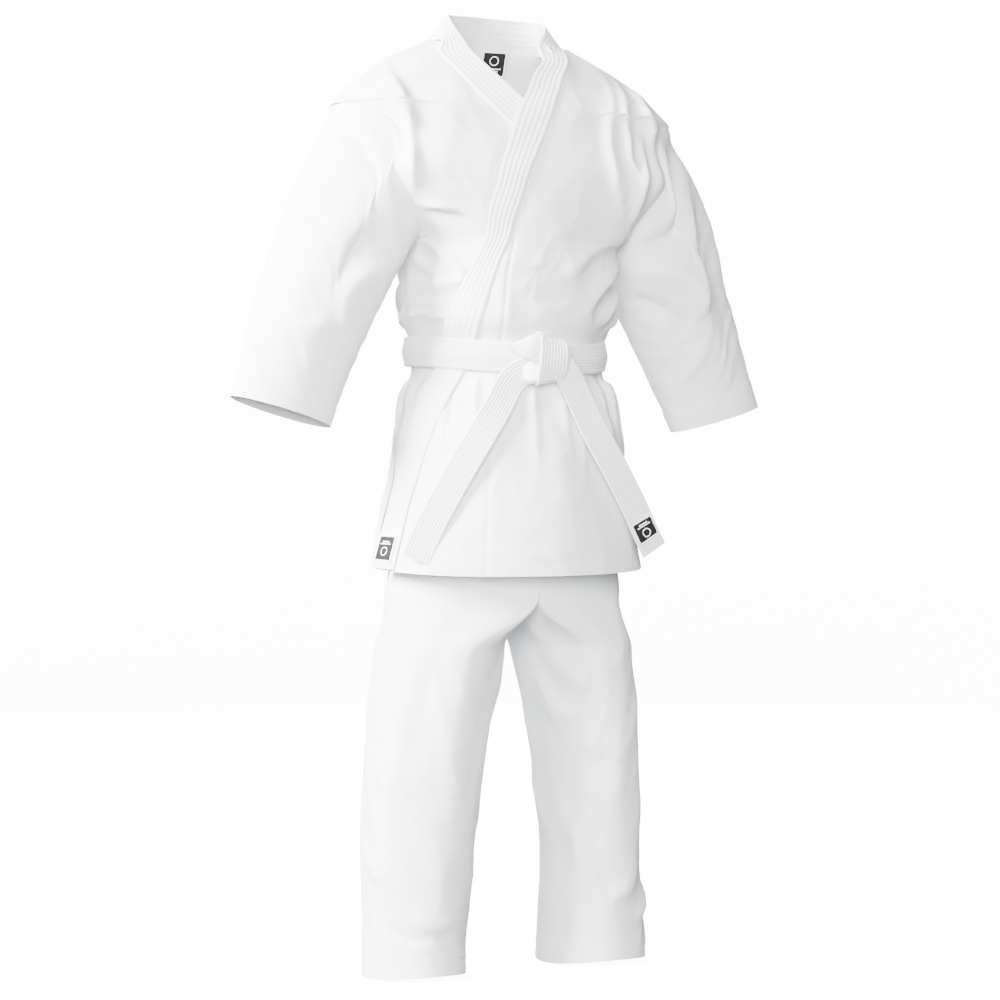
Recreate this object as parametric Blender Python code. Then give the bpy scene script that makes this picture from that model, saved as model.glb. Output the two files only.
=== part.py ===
"""Martial arts uniform: wrapped jacket, tied belt and trousers, as worn on an unseen figure.

Metres, +Z up. The wearer faces -Y and the wearer's left is +X. The pieces are laid out by their
height above the trouser hems, and then moved so that the origin is in the middle of the neck
opening, where the shoulders carry the garment. Every cloth piece is a thin closed shell.
Angles round the body are in degrees from the centre front, positive towards the wearer's left.
"""

import math

import bmesh
import bpy
from mathutils import Matrix, Vector

# Cloth and clearances
CLOTH = 0.0024
GAP = 0.0006
LAYER = CLOTH + 0.0011
SEAM_ANGLE = 0.35
ROW_SPAN = 0.045
ROW_CLOSE = 0.004
NEAR_END = 1e-5
FACING_THICK = CLOTH * 0.8

# Lengths that stack up into heights above the trouser hems
INSEAM = 0.553
BELT_ABOVE_CROTCH = 0.329
BELT_ABOVE_SKIRT = 0.032
BELT_WIDTH = 0.042
CHEST_LENGTH = 0.149
ARMHOLE_DEPTH = 0.195
SHOULDER_DROP = 0.115
JACKET_LENGTH = 0.790
BACK_NECK_RISE = 0.014
COLLAR_WIDTH = 0.040
COLLAR_LEAN = 0.014
LAPEL_BELOW_NECK = 0.010
WAISTBAND_WIDTH = 0.040
WAISTBAND_ABOVE_BELT = 0.006

BELT_LOW = INSEAM + BELT_ABOVE_CROTCH
BELT_HIGH = BELT_LOW + BELT_WIDTH
SKIRT_TOP = BELT_LOW - BELT_ABOVE_SKIRT
WAISTBAND_TOP = BELT_HIGH + WAISTBAND_ABOVE_BELT
ARMPIT_HEIGHT = BELT_HIGH + CHEST_LENGTH
SHOULDER_SEAM_HEIGHT = ARMPIT_HEIGHT + ARMHOLE_DEPTH
NECK_HEIGHT = SHOULDER_SEAM_HEIGHT + SHOULDER_DROP
HEM_HEIGHT = NECK_HEIGHT - JACKET_LENGTH
SKIRT_LENGTH = SKIRT_TOP - HEM_HEIGHT

# Half widths and depths of the jacket's innermost layer
HEM_HALF_WIDTH = 0.208
WAIST_HALF_WIDTH = 0.143
CHEST_HALF_WIDTH = 0.160
SHOULDER_HALF_WIDTH = 0.278
NECK_HALF_WIDTH = 0.094
WAIST_FRONT = 0.113
WAIST_BACK = 0.082
HEM_FRONT = 0.155
HEM_BACK = 0.120
CHEST_FRONT = 0.135
CHEST_BACK = 0.109
NECK_FRONT = 0.045
NECK_BACK = 0.055
NECK_SHIFT = 0.030
BELT_GRIP_BELOW = 0.004
BELT_GRIP_ABOVE = 0.014
BLOUSE_HEIGHT = 0.036
ARMPIT_EASE = 0.040

# Lining and side vents, angles in degrees
LINING_BELOW_SEAM = 0.080
LINING_BELOW_NECK = 0.075
LINING_INSIDE = 0.005
SKIRT_SIDE = 87
VENT_PATCH = 12
VENT_PATCH_LOW = 0.055
VENT_PATCH_HIGH = 0.020

# Sleeves
ARMHOLE_FRONT = 0.085
ARMHOLE_BACK = 0.070
CUFF_OUT = 0.364
SLEEVE_DROP = 0.449
CUFF_HALF_WIDTH = 0.0765
CUFF_HALF_DEPTH = 0.045
CUFF_TILT = math.radians(16)
CUFF_FACING = 0.040
CUFF_FORWARD = 0.010
ARMHOLE_OUT = 0.226
SLEEVE_SEAM = 0.7
SLEEVE_COUNT = 28
SLEEVE_ROWS = (1, 0.88, 0.72, 0.56, 0.4, 0.25, 0.12, 0.0)
CUFF_HEIGHT = SHOULDER_SEAM_HEIGHT - SLEEVE_DROP

# Belt, knot and tails
BELT_THICK = 0.0032
KNOT_WIDTH = 0.034
KNOT_DEPTH = 0.024
TAIL_WIDTH = 0.040
TAIL_SAG = 0.010
TAIL_LENGTH = 0.262
BELT_DIP = 0.004
BELT_INNER_EASE = 0.003
BELT_COUNT = 40
KNOT_FACE_GAP = 0.0005
KNOT_CENTRE = 0.022
KNOT_BODY_HALF = 0.019
KNOT_BODY_THICK = 0.012
KNOT_BODY_TOP = 0.026
KNOT_BODY_LOW = 0.006
KNOT_WRAP_TOP = 0.030
KNOT_WRAP_LOW = 0.010
KNOT_WRAP_LEAN = 0.006
KNOT_WRAP_THICK = 0.010
KNOT_WRAP_SAG = 0.002
KNOT_FOLD = [(-0.022, 0.028), (-0.050, 0.012), (-0.022, -0.014)]
KNOT_FOLD_THICK = 0.010
RIGHT_TAIL_ROOT = (-0.040, -0.022)
LEFT_TAIL_ROOT = (0.054, -0.018)
TAIL_FORWARD = 0.004
TAIL_BACKWARD = 0.016
PATCH_PLACE = (0.80, 0.935)
LEFT_TAIL_LEAN = math.radians(32)
RIGHT_TAIL_LEAN = math.radians(33)
RIGHT_TAIL_OUT = (-0.36, -0.93, 0)
LEFT_TAIL_OUT = (0.40, -0.92, 0)
LABEL_SIZE = 0.040
LABEL_THICK = 0.0010
LABEL_GAP = 0.0022
LABEL_BELOW_NECK = 0.018
LABEL_HALF_ANGLE = 14
LABEL_ABOVE_HEM = 0.010

# Trousers
HIP_HALF_WIDTH = 0.186
LEG_OUT = 0.150
LEG_HALF_WIDTH = 0.080
HEM_BAND = 0.034
GUSSET_HALF_WIDTH = 0.011

# Lapel lines on the wearer's front: place up the jacket, which is 0 at its hem, LAPEL_WAIST at
# the top of the skirts and 1 at the neck, and angle from the centre front
LAPEL_WAIST = 0.325
LAPEL_EDGE = [
    (0.987, 12), (0.922, 2), (0.856, -6), (0.795, -10), (0.704, -16), (0.643, -26),
    (0.547, -42), (0.425, -60), (0.325, -70), (0.228, -79), (0.127, -84), (0.0, -88),
]
LAPEL_SEAM = [
    (0.987, 36), (0.927, 16), (0.871, 6), (0.825, 2), (0.770, -2), (0.673, -10), (0.567, -26),
    (0.425, -38), (0.325, -50), (0.228, -62), (0.127, -69), (0.0, -71),
]
GORE_SEAM = [(0.608, -18), (0.542, -22), (0.425, -24), (0.162, -29), (0.0, -28)]
GORE_BLUNT = 0.010

CREAM = (0.90, 0.90, 0.89)
WHITE = (0.93, 0.93, 0.92)
BLACK = (0.02, 0.02, 0.02)


def clear_scene():
    for old in list(bpy.data.objects):
        bpy.data.objects.remove(old)


def between(rows, height, column=1):
    """Value at a height in rows of (height, value, ...), eased between neighbours."""
    rows = sorted(rows)
    if height <= rows[0][0]:
        return rows[0][column]
    for low, high in zip(rows, rows[1:]):
        if height <= high[0]:
            share = (height - low[0]) / (high[0] - low[0])
            return low[column] + (high[column] - low[column]) * share
    return rows[-1][column]


def jacket_rows():
    """Height, half width, front depth and back depth of the jacket's innermost layer."""
    armhole = SHOULDER_SEAM_HEIGHT - ARMPIT_HEIGHT
    return [
        (HEM_HEIGHT, HEM_HALF_WIDTH, HEM_FRONT, HEM_BACK),
        (HEM_HEIGHT + 0.49 * SKIRT_LENGTH, HEM_HALF_WIDTH - 0.028, HEM_FRONT - 0.015,
         HEM_BACK - 0.012),
        (SKIRT_TOP, WAIST_HALF_WIDTH + 0.018, WAIST_FRONT + 0.012, WAIST_BACK + 0.014),
        (BELT_LOW - BELT_GRIP_BELOW, WAIST_HALF_WIDTH, WAIST_FRONT, WAIST_BACK),
        (BELT_HIGH + BELT_GRIP_ABOVE, WAIST_HALF_WIDTH, WAIST_FRONT, WAIST_BACK),
        (BELT_HIGH + BLOUSE_HEIGHT, WAIST_HALF_WIDTH + 0.012, WAIST_FRONT + 0.016,
         WAIST_BACK + 0.012),
        (ARMPIT_HEIGHT - ARMPIT_EASE, CHEST_HALF_WIDTH - 0.003, CHEST_FRONT, CHEST_BACK - 0.011),
        (ARMPIT_HEIGHT, CHEST_HALF_WIDTH, CHEST_FRONT, CHEST_BACK - 0.009),
        (ARMPIT_HEIGHT + 0.25 * armhole, CHEST_HALF_WIDTH + 0.072, CHEST_FRONT - 0.001,
         CHEST_BACK - 0.004),
        (ARMPIT_HEIGHT + 0.5 * armhole, SHOULDER_HALF_WIDTH + 0.020, CHEST_FRONT - 0.005,
         CHEST_BACK),
        (SHOULDER_SEAM_HEIGHT, SHOULDER_HALF_WIDTH, CHEST_FRONT - 0.035, CHEST_BACK - 0.009),
        (SHOULDER_SEAM_HEIGHT + 0.48 * SHOULDER_DROP,
         NECK_HALF_WIDTH + 0.52 * (SHOULDER_HALF_WIDTH - NECK_HALF_WIDTH), 0.075, 0.080),
        (NECK_HEIGHT, NECK_HALF_WIDTH, NECK_FRONT, NECK_BACK),
    ]


JACKET = jacket_rows()
HIPS = [
    (INSEAM, HIP_HALF_WIDTH, 0.118, 0.108),
    (INSEAM + 0.555 * (SKIRT_TOP - INSEAM), HIP_HALF_WIDTH - 0.030, 0.120, 0.092),
    (SKIRT_TOP, WAIST_HALF_WIDTH - 0.006, WAIST_FRONT - 0.004, WAIST_BACK - 0.004),
    (WAISTBAND_TOP, WAIST_HALF_WIDTH - 0.013, WAIST_FRONT - 0.013, WAIST_BACK - 0.013),
]


def section_point(rows, angle, height, out=0.0, shift=0.0):
    """Point on a body section at an angle in degrees from the centre front."""
    turn = math.radians(angle)
    depth = between(rows, height, 2 if math.cos(turn) > 0 else 3)
    half = between(rows, height, 1)
    return Vector((
        (half + out) * math.sin(turn),
        shift - (depth + out) * math.cos(turn),
        height,
    ))


def jacket_point(angle, height, out=0.0):
    rise = (height - SHOULDER_SEAM_HEIGHT) / (NECK_HEIGHT - SHOULDER_SEAM_HEIGHT)
    shift = NECK_SHIFT * min(max(rise, 0.0), 1.0)
    return section_point(JACKET, angle, height, out, shift)


def armhole_angle(height, front):
    """How far from the centre front or back a body panel reaches beside the armhole."""
    middle = (SHOULDER_SEAM_HEIGHT + ARMPIT_HEIGHT) / 2
    reach = (SHOULDER_SEAM_HEIGHT - ARMPIT_HEIGHT) / 2
    rise = (height - middle) / reach
    if abs(rise) >= 1:
        return 90.0
    depth = (ARMHOLE_FRONT if front else ARMHOLE_BACK) * math.sqrt(1 - rise * rise)
    body = between(JACKET, height, 2 if front else 3)
    return math.degrees(math.acos(min(depth / body, 1.0)))


def material(name, colour, roughness=0.9):
    made = bpy.data.materials.new(name)
    made.use_nodes = True
    shader = made.node_tree.nodes["Principled BSDF"]
    shader.inputs["Base Color"].default_value = (*colour, 1.0)
    shader.inputs["Roughness"].default_value = roughness
    shader.inputs["Metallic"].default_value = 0.0
    return made


def add_object(name, points, faces, colour):
    mesh = bpy.data.meshes.new(name)
    mesh.from_pydata([tuple(point) for point in points], [], faces)
    shape = bmesh.new()
    shape.from_mesh(mesh)
    bmesh.ops.recalc_face_normals(shape, faces=shape.faces)
    shape.to_mesh(mesh)
    shape.free()
    mesh.transform(Matrix.Translation((0, 0, -NECK_HEIGHT)))
    mesh.materials.append(material(name + "_cloth", colour))
    made = bpy.data.objects.new(name, mesh)
    bpy.context.scene.collection.objects.link(made)
    mesh.shade_smooth()
    mesh.set_sharp_from_angle(angle=math.radians(40))
    return made


def sheet(name, grid, ring=False, thick=CLOTH, colour=WHITE):
    """A cloth shell: a grid of points, and the same grid moved out along its normals.

    grid is a list of rows from low to high, each running towards the wearer's left across
    the front; a ring closes each row on itself.
    """
    rows = len(grid)
    count = len(grid[0])
    across = count if ring else count - 1
    outside = []
    for r in range(rows):
        for c in range(count):
            left = grid[r][(c - 1) % count] if ring else grid[r][max(c - 1, 0)]
            right = grid[r][(c + 1) % count] if ring else grid[r][min(c + 1, count - 1)]
            below = grid[max(r - 1, 0)][c]
            above = grid[min(r + 1, rows - 1)][c]
            normal = (right - left).cross(above - below).normalized()
            outside.append(grid[r][c] + normal * thick)
    inside = [point for row in grid for point in row]
    total = len(inside)
    faces = []
    for r in range(rows - 1):
        for c in range(across):
            a = r * count + c
            b = r * count + (c + 1) % count
            faces.append((total + a, total + b, total + b + count, total + a + count))
            faces.append((a, a + count, b + count, b))
    for c in range(across):
        a = c
        b = (c + 1) % count
        faces.append((a, b, total + b, total + a))
        top = (rows - 1) * count
        faces.append((top + b, top + a, total + top + a, total + top + b))
    if not ring:
        for r in range(rows - 1):
            a = r * count
            faces.append((a + count, a, total + a, total + a + count))
            b = a + count - 1
            faces.append((b, b + count, total + b + count, total + b))
    return add_object(name, inside + outside, faces, colour)


def steps(start, end, count):
    return [start + (end - start) * i / (count - 1) for i in range(count)]


def row_heights(low, high, profile):
    """Heights of a panel's rows: the profile's own ones, so that all layers bend alike."""
    inside = [row[0] for row in profile if low + ROW_CLOSE < row[0] < high - ROW_CLOSE]
    knots = [low] + inside + [high]
    heights = [low]
    for start, end in zip(knots, knots[1:]):
        spans = math.ceil((end - start) / ROW_SPAN)
        heights += [start + (end - start) * (i + 1) / spans for i in range(spans)]
    return heights


def panel(name, low, high, left_edge, right_edge, out, columns=8, point=jacket_point,
          profile=None):
    """A body panel between two heights and two edges that are functions of the height."""
    grid = []
    for height in row_heights(low, high, profile or JACKET):
        start = left_edge(height)
        end = right_edge(height)
        grid.append([point(angle, height, out) for angle in steps(start, end, columns)])
    return sheet(name, grid)


def up_share(height):
    """A height's place up the jacket, in the terms of the lapel lines."""
    if height < SKIRT_TOP:
        return LAPEL_WAIST * (height - HEM_HEIGHT) / SKIRT_LENGTH
    return LAPEL_WAIST + (1 - LAPEL_WAIST) * (height - SKIRT_TOP) / (NECK_HEIGHT - SKIRT_TOP)


def height_at(share):
    """The height of a place at or above the top of the skirts."""
    return SKIRT_TOP + (NECK_HEIGHT - SKIRT_TOP) * (share - LAPEL_WAIST) / (1 - LAPEL_WAIST)


def lapel_edge(height):
    return between(LAPEL_EDGE, up_share(height))


def lapel_seam(height):
    return between(LAPEL_SEAM, up_share(height))


def gore_seam(height):
    return between(GORE_SEAM, up_share(height))


def front_edge(height):
    """The left front panel ends at the gore below the chest, and at the lapel above it."""
    return lapel_seam(height) if up_share(height) > GORE_SEAM[0][0] else gore_seam(height)


def make_jacket_back():
    """Two back panels that meet in the centre back seam, above the skirts."""
    for side, name in ((1, "back_panel_left"), (-1, "back_panel_right")):
        def outer(height, side=side):
            return side * (180 - armhole_angle(height, False) + SEAM_ANGLE)

        def centre(height, side=side):
            return side * (180 - SEAM_ANGLE)

        edges = (outer, centre) if side > 0 else (centre, outer)
        panel(name, SKIRT_TOP + GAP, NECK_HEIGHT, edges[0], edges[1], LAYER, 8)


def make_jacket_front():
    """The right front panel lies under the left one; each ends where its lapel band starts."""
    low = SKIRT_TOP + GAP
    high = NECK_HEIGHT - LAPEL_BELOW_NECK

    def side(height):
        return armhole_angle(height, True) - SEAM_ANGLE

    panel("front_panel_right", low, high, lambda z: -side(z),
          lambda z: -lapel_seam(z) - SEAM_ANGLE, 0.0, 8)
    panel("lapel_right", low, high, lambda z: -lapel_seam(z) + SEAM_ANGLE,
          lambda z: -lapel_edge(z), 0.0, 4)
    panel("front_panel_left", low, high, lambda z: front_edge(z) + SEAM_ANGLE, side,
          2 * LAYER, 8)
    gore_top = height_at(GORE_SEAM[0][0]) - GORE_BLUNT
    panel("gore_left", low, gore_top, lambda z: lapel_seam(z) + SEAM_ANGLE,
          lambda z: gore_seam(z) - SEAM_ANGLE, 2 * LAYER, 3)
    panel("lapel_left", low, high, lapel_edge, lambda z: lapel_seam(z) - SEAM_ANGLE,
          2 * LAYER, 4)


def make_collar():
    """The band round the back of the neck, and the woven label below it."""
    low = []
    high = []
    for angle in steps(42, 318, 25):
        lift = BACK_NECK_RISE * (1 - math.cos(math.radians(angle))) / 2
        foot = jacket_point(angle, NECK_HEIGHT)
        foot.z += 2 * GAP
        head = jacket_point(angle, NECK_HEIGHT, -COLLAR_LEAN)
        head.z = foot.z + COLLAR_WIDTH + lift
        low.append(foot)
        high.append(head)
    middle = [(a + b) / 2 for a, b in zip(low, high)]
    sheet("collar_back", [low, middle, high], thick=CLOTH * 1.5)
    inner = NECK_HEIGHT - LABEL_BELOW_NECK
    label = []
    for height in (inner - LABEL_SIZE, inner):
        label.append([jacket_point(180 + angle, height, LAYER - LABEL_GAP - LABEL_THICK)
                      for angle in steps(-LABEL_HALF_ANGLE, LABEL_HALF_ANGLE, 5)])
    sheet("neck_label", label, thick=LABEL_THICK, colour=BLACK)


def make_shoulder_lining():
    """A second layer of cloth inside the shoulders and upper back, one half on each side."""
    low = SHOULDER_SEAM_HEIGHT - LINING_BELOW_SEAM
    high = NECK_HEIGHT - LINING_BELOW_NECK
    for side, name in ((1, "shoulder_lining_left"), (-1, "shoulder_lining_right")):
        def outer(height, side=side):
            return side * (180 - armhole_angle(height, False) + 6)

        def centre(height, side=side):
            return side * (180 - 2)

        edges = (outer, centre) if side > 0 else (centre, outer)
        panel(name, low, high, edges[0], edges[1], -LINING_INSIDE, 7)


def sleeve_arc(side, share, start_turn, end_turn, count, out=0.0):
    """Arc round the sleeve, from the armhole at share 0 to the cuff at share 1.

    Turns are in degrees from the top of the sleeve, over the front towards the armpit.
    """
    middle = (SHOULDER_SEAM_HEIGHT + ARMPIT_HEIGHT) / 2
    reach = (SHOULDER_SEAM_HEIGHT - ARMPIT_HEIGHT) / 2
    along = Vector((math.cos(CUFF_TILT), 0, math.sin(CUFF_TILT)))
    armhole_centre = Vector((ARMHOLE_OUT, 0, middle))
    cuff_centre = Vector((CUFF_OUT, -CUFF_FORWARD, CUFF_HEIGHT))
    arc = []
    for degrees in steps(start_turn, end_turn, count):
        turn = math.radians(degrees)
        rise = math.cos(turn)
        swing = math.sin(turn)
        height = middle + reach * rise
        front = swing > 0
        inside = min(max(height, ARMPIT_HEIGHT + NEAR_END), SHOULDER_SEAM_HEIGHT - NEAR_END)
        angle = armhole_angle(inside, front)
        start = jacket_point(angle if front else 180 - angle, height, 2 * LAYER)
        start.x += CLOTH + 5 * GAP
        end = cuff_centre + along * (CUFF_HALF_WIDTH * rise)
        end.y -= CUFF_HALF_DEPTH * swing
        point = start.lerp(end, share)
        centre = armhole_centre.lerp(cuff_centre, share)
        point += (point - centre).normalized() * out
        arc.append(Vector((side * point.x, point.y, point.z)))
    if side > 0:
        arc.reverse()
    return arc


def make_sleeves():
    """Each sleeve has a front and a back half, seamed over and under the arm, and a cuff facing."""
    facing_start = 1 - CUFF_FACING / SLEEVE_DROP
    halves = (
        ("sleeve_front_", SLEEVE_SEAM, 180 - SLEEVE_SEAM),
        ("sleeve_back_", 180 + SLEEVE_SEAM, 360 - SLEEVE_SEAM),
    )
    ring_end = 360 * (1 - 1 / SLEEVE_COUNT)
    for side, tag in ((1, "left"), (-1, "right")):
        for name, start, end in halves:
            grid = [sleeve_arc(side, share, start, end, SLEEVE_COUNT // 2 + 1)
                    for share in SLEEVE_ROWS]
            sheet(name + tag, grid)
        facing = [sleeve_arc(side, share, 0, ring_end, SLEEVE_COUNT, -GAP - CLOTH * 1.3)
                  for share in (1.0, facing_start)]
        sheet("cuff_facing_" + tag, facing, ring=True, thick=FACING_THICK)


def make_skirts():
    """Front and back skirt below the belt, open at both sides, with turned hems inside."""
    low = HEM_HEIGHT
    high = SKIRT_TOP - GAP
    side = SKIRT_SIDE
    panel("front_skirt_right", low, high, lambda z: -side,
          lambda z: -lapel_seam(z) - SEAM_ANGLE, 0.0, 8)
    panel("lapel_skirt_right", low, high, lambda z: -lapel_seam(z) + SEAM_ANGLE,
          lambda z: -lapel_edge(z), 0.0, 4)
    panel("front_skirt_left", low, high, lambda z: gore_seam(z) + SEAM_ANGLE, lambda z: side,
          2 * LAYER, 8)
    panel("gore_skirt_left", low, high, lambda z: lapel_seam(z) + SEAM_ANGLE,
          lambda z: gore_seam(z) - SEAM_ANGLE, 2 * LAYER, 4)
    panel("lapel_skirt_left", low, high, lapel_edge, lambda z: lapel_seam(z) - SEAM_ANGLE,
          2 * LAYER, 4)
    panel("back_skirt_left", low, high, lambda z: 180 - side, lambda z: 180 - SEAM_ANGLE, LAYER,
          8)
    panel("back_skirt_right", low, high, lambda z: 180 + SEAM_ANGLE, lambda z: 180 + side, LAYER,
          8)
    patch_low = HEM_HEIGHT + LABEL_ABOVE_HEM
    patch_high = patch_low + LABEL_SIZE

    def patch_edge(share):
        return lambda z: lapel_edge(z) + (lapel_seam(z) - lapel_edge(z)) * share

    label = []
    for height in steps(patch_low, patch_high, 3):
        start = patch_edge(0.14)(height)
        end = patch_edge(0.86)(height)
        label.append([jacket_point(angle, height, 2 * LAYER + CLOTH + GAP)
                      for angle in steps(start, end, 4)])
    sheet("lapel_patch", label, thick=LABEL_THICK, colour=BLACK)
    vent = 180 - side + SEAM_ANGLE
    under = LAYER - CLOTH - 3 * GAP
    for tag, start in (("left", vent), ("right", 360 - vent - VENT_PATCH)):
        panel("vent_patch_" + tag, SKIRT_TOP - VENT_PATCH_LOW, SKIRT_TOP - VENT_PATCH_HIGH,
              lambda z, a=start: a, lambda z, a=start: a + VENT_PATCH, under, 3)


def belt_grid(out, low, high):
    grid = []
    for height in (low, high):
        row = []
        for i in range(BELT_COUNT):
            angle = -180 + 360 * i / BELT_COUNT
            point = jacket_point(angle, BELT_LOW + BELT_WIDTH / 2, out)
            point.z = height - BELT_DIP * math.cos(math.radians(angle))
            row.append(point)
        grid.append(row)
    return grid


def slab(name, start, end, width, thick, colour=CREAM, points=6, out=Vector((0, -1, 0)), sag=0.0):
    """A flat strap from start to end, lying on the side that out points to."""
    along = (end - start).normalized()
    across = along.cross(out).normalized()
    grid = []
    for share in steps(1.0, 0.0, points):
        centre = start.lerp(end, share) + out * (sag * 4 * share * (1 - share))
        grid.append([centre - across * width / 2, centre, centre + across * width / 2])
    if (grid[0][1] - grid[0][0]).cross(grid[1][0] - grid[0][0]).dot(out) < 0:
        grid = [list(reversed(row)) for row in grid]
    return sheet(name, grid, thick=thick, colour=colour)


def make_belt():
    """The belt goes round twice; its knot sits left of the middle, and two tails hang from it."""
    cloth_out = 3 * LAYER + GAP
    inner = cloth_out + 2 * GAP
    outer = inner + BELT_THICK + 2 * GAP
    inner_low = BELT_LOW + BELT_INNER_EASE
    inner_high = BELT_HIGH - BELT_INNER_EASE
    sheet("belt_turn_inner", belt_grid(inner, inner_low, inner_high), ring=True, thick=BELT_THICK,
          colour=CREAM)
    sheet("belt_turn_outer", belt_grid(outer, BELT_LOW, BELT_HIGH), ring=True, thick=BELT_THICK,
          colour=CREAM)
    make_knot(-(WAIST_FRONT + outer + BELT_THICK + GAP + KNOT_FACE_GAP))
    make_tails()


def make_knot(face):
    """The knot's body on the belt's face, the turn that wraps over it and the folded end."""
    middle = BELT_LOW + BELT_WIDTH / 2 - BELT_DIP
    box("knot_body", (KNOT_CENTRE - KNOT_BODY_HALF, face - KNOT_BODY_THICK, SKIRT_TOP + KNOT_BODY_LOW),
        (KNOT_CENTRE + KNOT_BODY_HALF, face, middle + KNOT_BODY_TOP), CREAM)
    band = face - KNOT_BODY_THICK - GAP
    slab("knot_wrap", Vector((KNOT_CENTRE - KNOT_WRAP_LEAN, band, middle + KNOT_WRAP_TOP)),
         Vector((KNOT_CENTRE + KNOT_WRAP_LEAN, band, SKIRT_TOP + KNOT_WRAP_LOW)), KNOT_WIDTH,
         KNOT_WRAP_THICK, sag=KNOT_WRAP_SAG)
    wedge("knot_fold", [(KNOT_CENTRE + x, middle + z) for x, z in KNOT_FOLD], face,
          KNOT_FOLD_THICK)


def make_tails():
    """The two ends of the belt, and the woven patch on the wearer's left one."""
    root_y = tail_hinge_y() + TAIL_FORWARD
    top = SKIRT_TOP - 2 * GAP
    for name, root, lean, outward in (
        ("belt_tail_right", RIGHT_TAIL_ROOT, -RIGHT_TAIL_LEAN, RIGHT_TAIL_OUT),
        ("belt_tail_left", LEFT_TAIL_ROOT, LEFT_TAIL_LEAN, LEFT_TAIL_OUT),
    ):
        start = Vector((root[0], root_y, top + root[1]))
        run = Vector((TAIL_LENGTH * math.sin(lean), TAIL_BACKWARD, -TAIL_LENGTH * math.cos(lean)))
        out = Vector(outward).normalized()
        slab(name, start, start + run, TAIL_WIDTH, BELT_THICK, points=8, out=out, sag=TAIL_SAG)
    patch = [start + run * place + out * (TAIL_SAG + BELT_THICK) for place in PATCH_PLACE]
    slab("belt_patch", patch[0], patch[1], LABEL_SIZE, LABEL_THICK, colour=BLACK, points=2, out=out)


def tail_hinge_y():
    return -(WAIST_FRONT + 3 * LAYER + 2 * (BELT_THICK + GAP) + KNOT_DEPTH)


def box(name, low, high, colour):
    points = [Vector((x, y, z)) for z in (low[2], high[2]) for y in (low[1], high[1])
              for x in (low[0], high[0])]
    faces = [(0, 2, 3, 1), (4, 5, 7, 6), (0, 1, 5, 4), (2, 6, 7, 3), (0, 4, 6, 2), (1, 3, 7, 5)]
    made = add_object(name, points, faces, colour)
    return made


def wedge(name, corners, back, thick):
    """A flat triangular fold, corners as (x, z), its back face at y = back."""
    points = [Vector((x, back, z)) for x, z in corners]
    points += [Vector((x, back - thick, z)) for x, z in corners]
    faces = [(0, 1, 2), (5, 4, 3), (1, 0, 3, 4), (2, 1, 4, 5), (0, 2, 5, 3)]
    return add_object(name, points, faces, CREAM)


def leg_ring(side, height, out=0.0, count=26):
    """Ring of a trouser leg, rounder and further out towards the hem."""
    inner = GUSSET_HALF_WIDTH + CLOTH + GAP
    top_half = (HIP_HALF_WIDTH - inner) / 2 - 0.001
    rows = [
        (0.0, LEG_OUT, LEG_HALF_WIDTH, 0.082),
        (0.34 * INSEAM, LEG_OUT - 0.009, LEG_HALF_WIDTH, 0.085),
        (0.68 * INSEAM, LEG_OUT - 0.019, LEG_HALF_WIDTH + 0.002, 0.092),
        (0.84 * INSEAM, LEG_OUT - 0.032, LEG_HALF_WIDTH + 0.004, 0.100),
        (INSEAM, inner + top_half, top_half, 0.108),
    ]
    centre = between(rows, height, 1)
    half = between(rows, height, 2)
    depth = between(rows, height, 3)
    ring = []
    for i in range(count):
        turn = 2 * math.pi * i / count
        ring.append(Vector((side * centre + (half + out) * math.sin(turn),
                            -(depth + out) * math.cos(turn), height)))
    return ring


def make_trousers():
    """Hips in four panels under an elastic waistband, a crotch gusset and two legs."""
    def hip_point(angle, height, out=0.0):
        return section_point(HIPS, angle, height, out)

    low = INSEAM + 0.005
    high = WAISTBAND_TOP - WAISTBAND_WIDTH - GAP
    quarters = (("hip_front_left", 0, 90), ("hip_back_left", 90, 180),
                ("hip_back_right", 180, 270), ("hip_front_right", -90, 0))
    for name, start, end in quarters:
        panel(name, low, high, lambda z, a=start: a + SEAM_ANGLE, lambda z, a=end: a - SEAM_ANGLE,
              0.0, 7, hip_point, HIPS)
    band = []
    for height in (WAISTBAND_TOP - WAISTBAND_WIDTH, WAISTBAND_TOP):
        band.append([section_point(HIPS, -180 + 360 * i / 32, WAISTBAND_TOP - 0.02)
                     for i in range(32)])
        for point in band[-1]:
            point.z = height
    sheet("waistband", band, ring=True, thick=CLOTH)
    box("crotch_gusset", (-GUSSET_HALF_WIDTH, -0.106, INSEAM - 0.0085),
        (GUSSET_HALF_WIDTH, 0.104, INSEAM + 0.0035), WHITE)
    leg_top = INSEAM - 0.010
    for side, tag in ((1, "left"), (-1, "right")):
        heights = [0.0, HEM_BAND] + [INSEAM * share for share in (0.2, 0.34, 0.51, 0.68, 0.84)]
        heights += [leg_top - 0.035, leg_top]
        grid = [leg_ring(side, height) for height in heights]
        sheet("leg_" + tag, grid, ring=True)
        facing = [leg_ring(side, height, -GAP - CLOTH) for height in (0.0005, HEM_BAND)]
        sheet("leg_hem_" + tag, facing, ring=True, thick=FACING_THICK)


def main():
    clear_scene()
    make_jacket_back()
    make_jacket_front()
    make_collar()
    make_shoulder_lining()
    make_sleeves()
    make_skirts()
    make_belt()
    make_trousers()


main()
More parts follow.
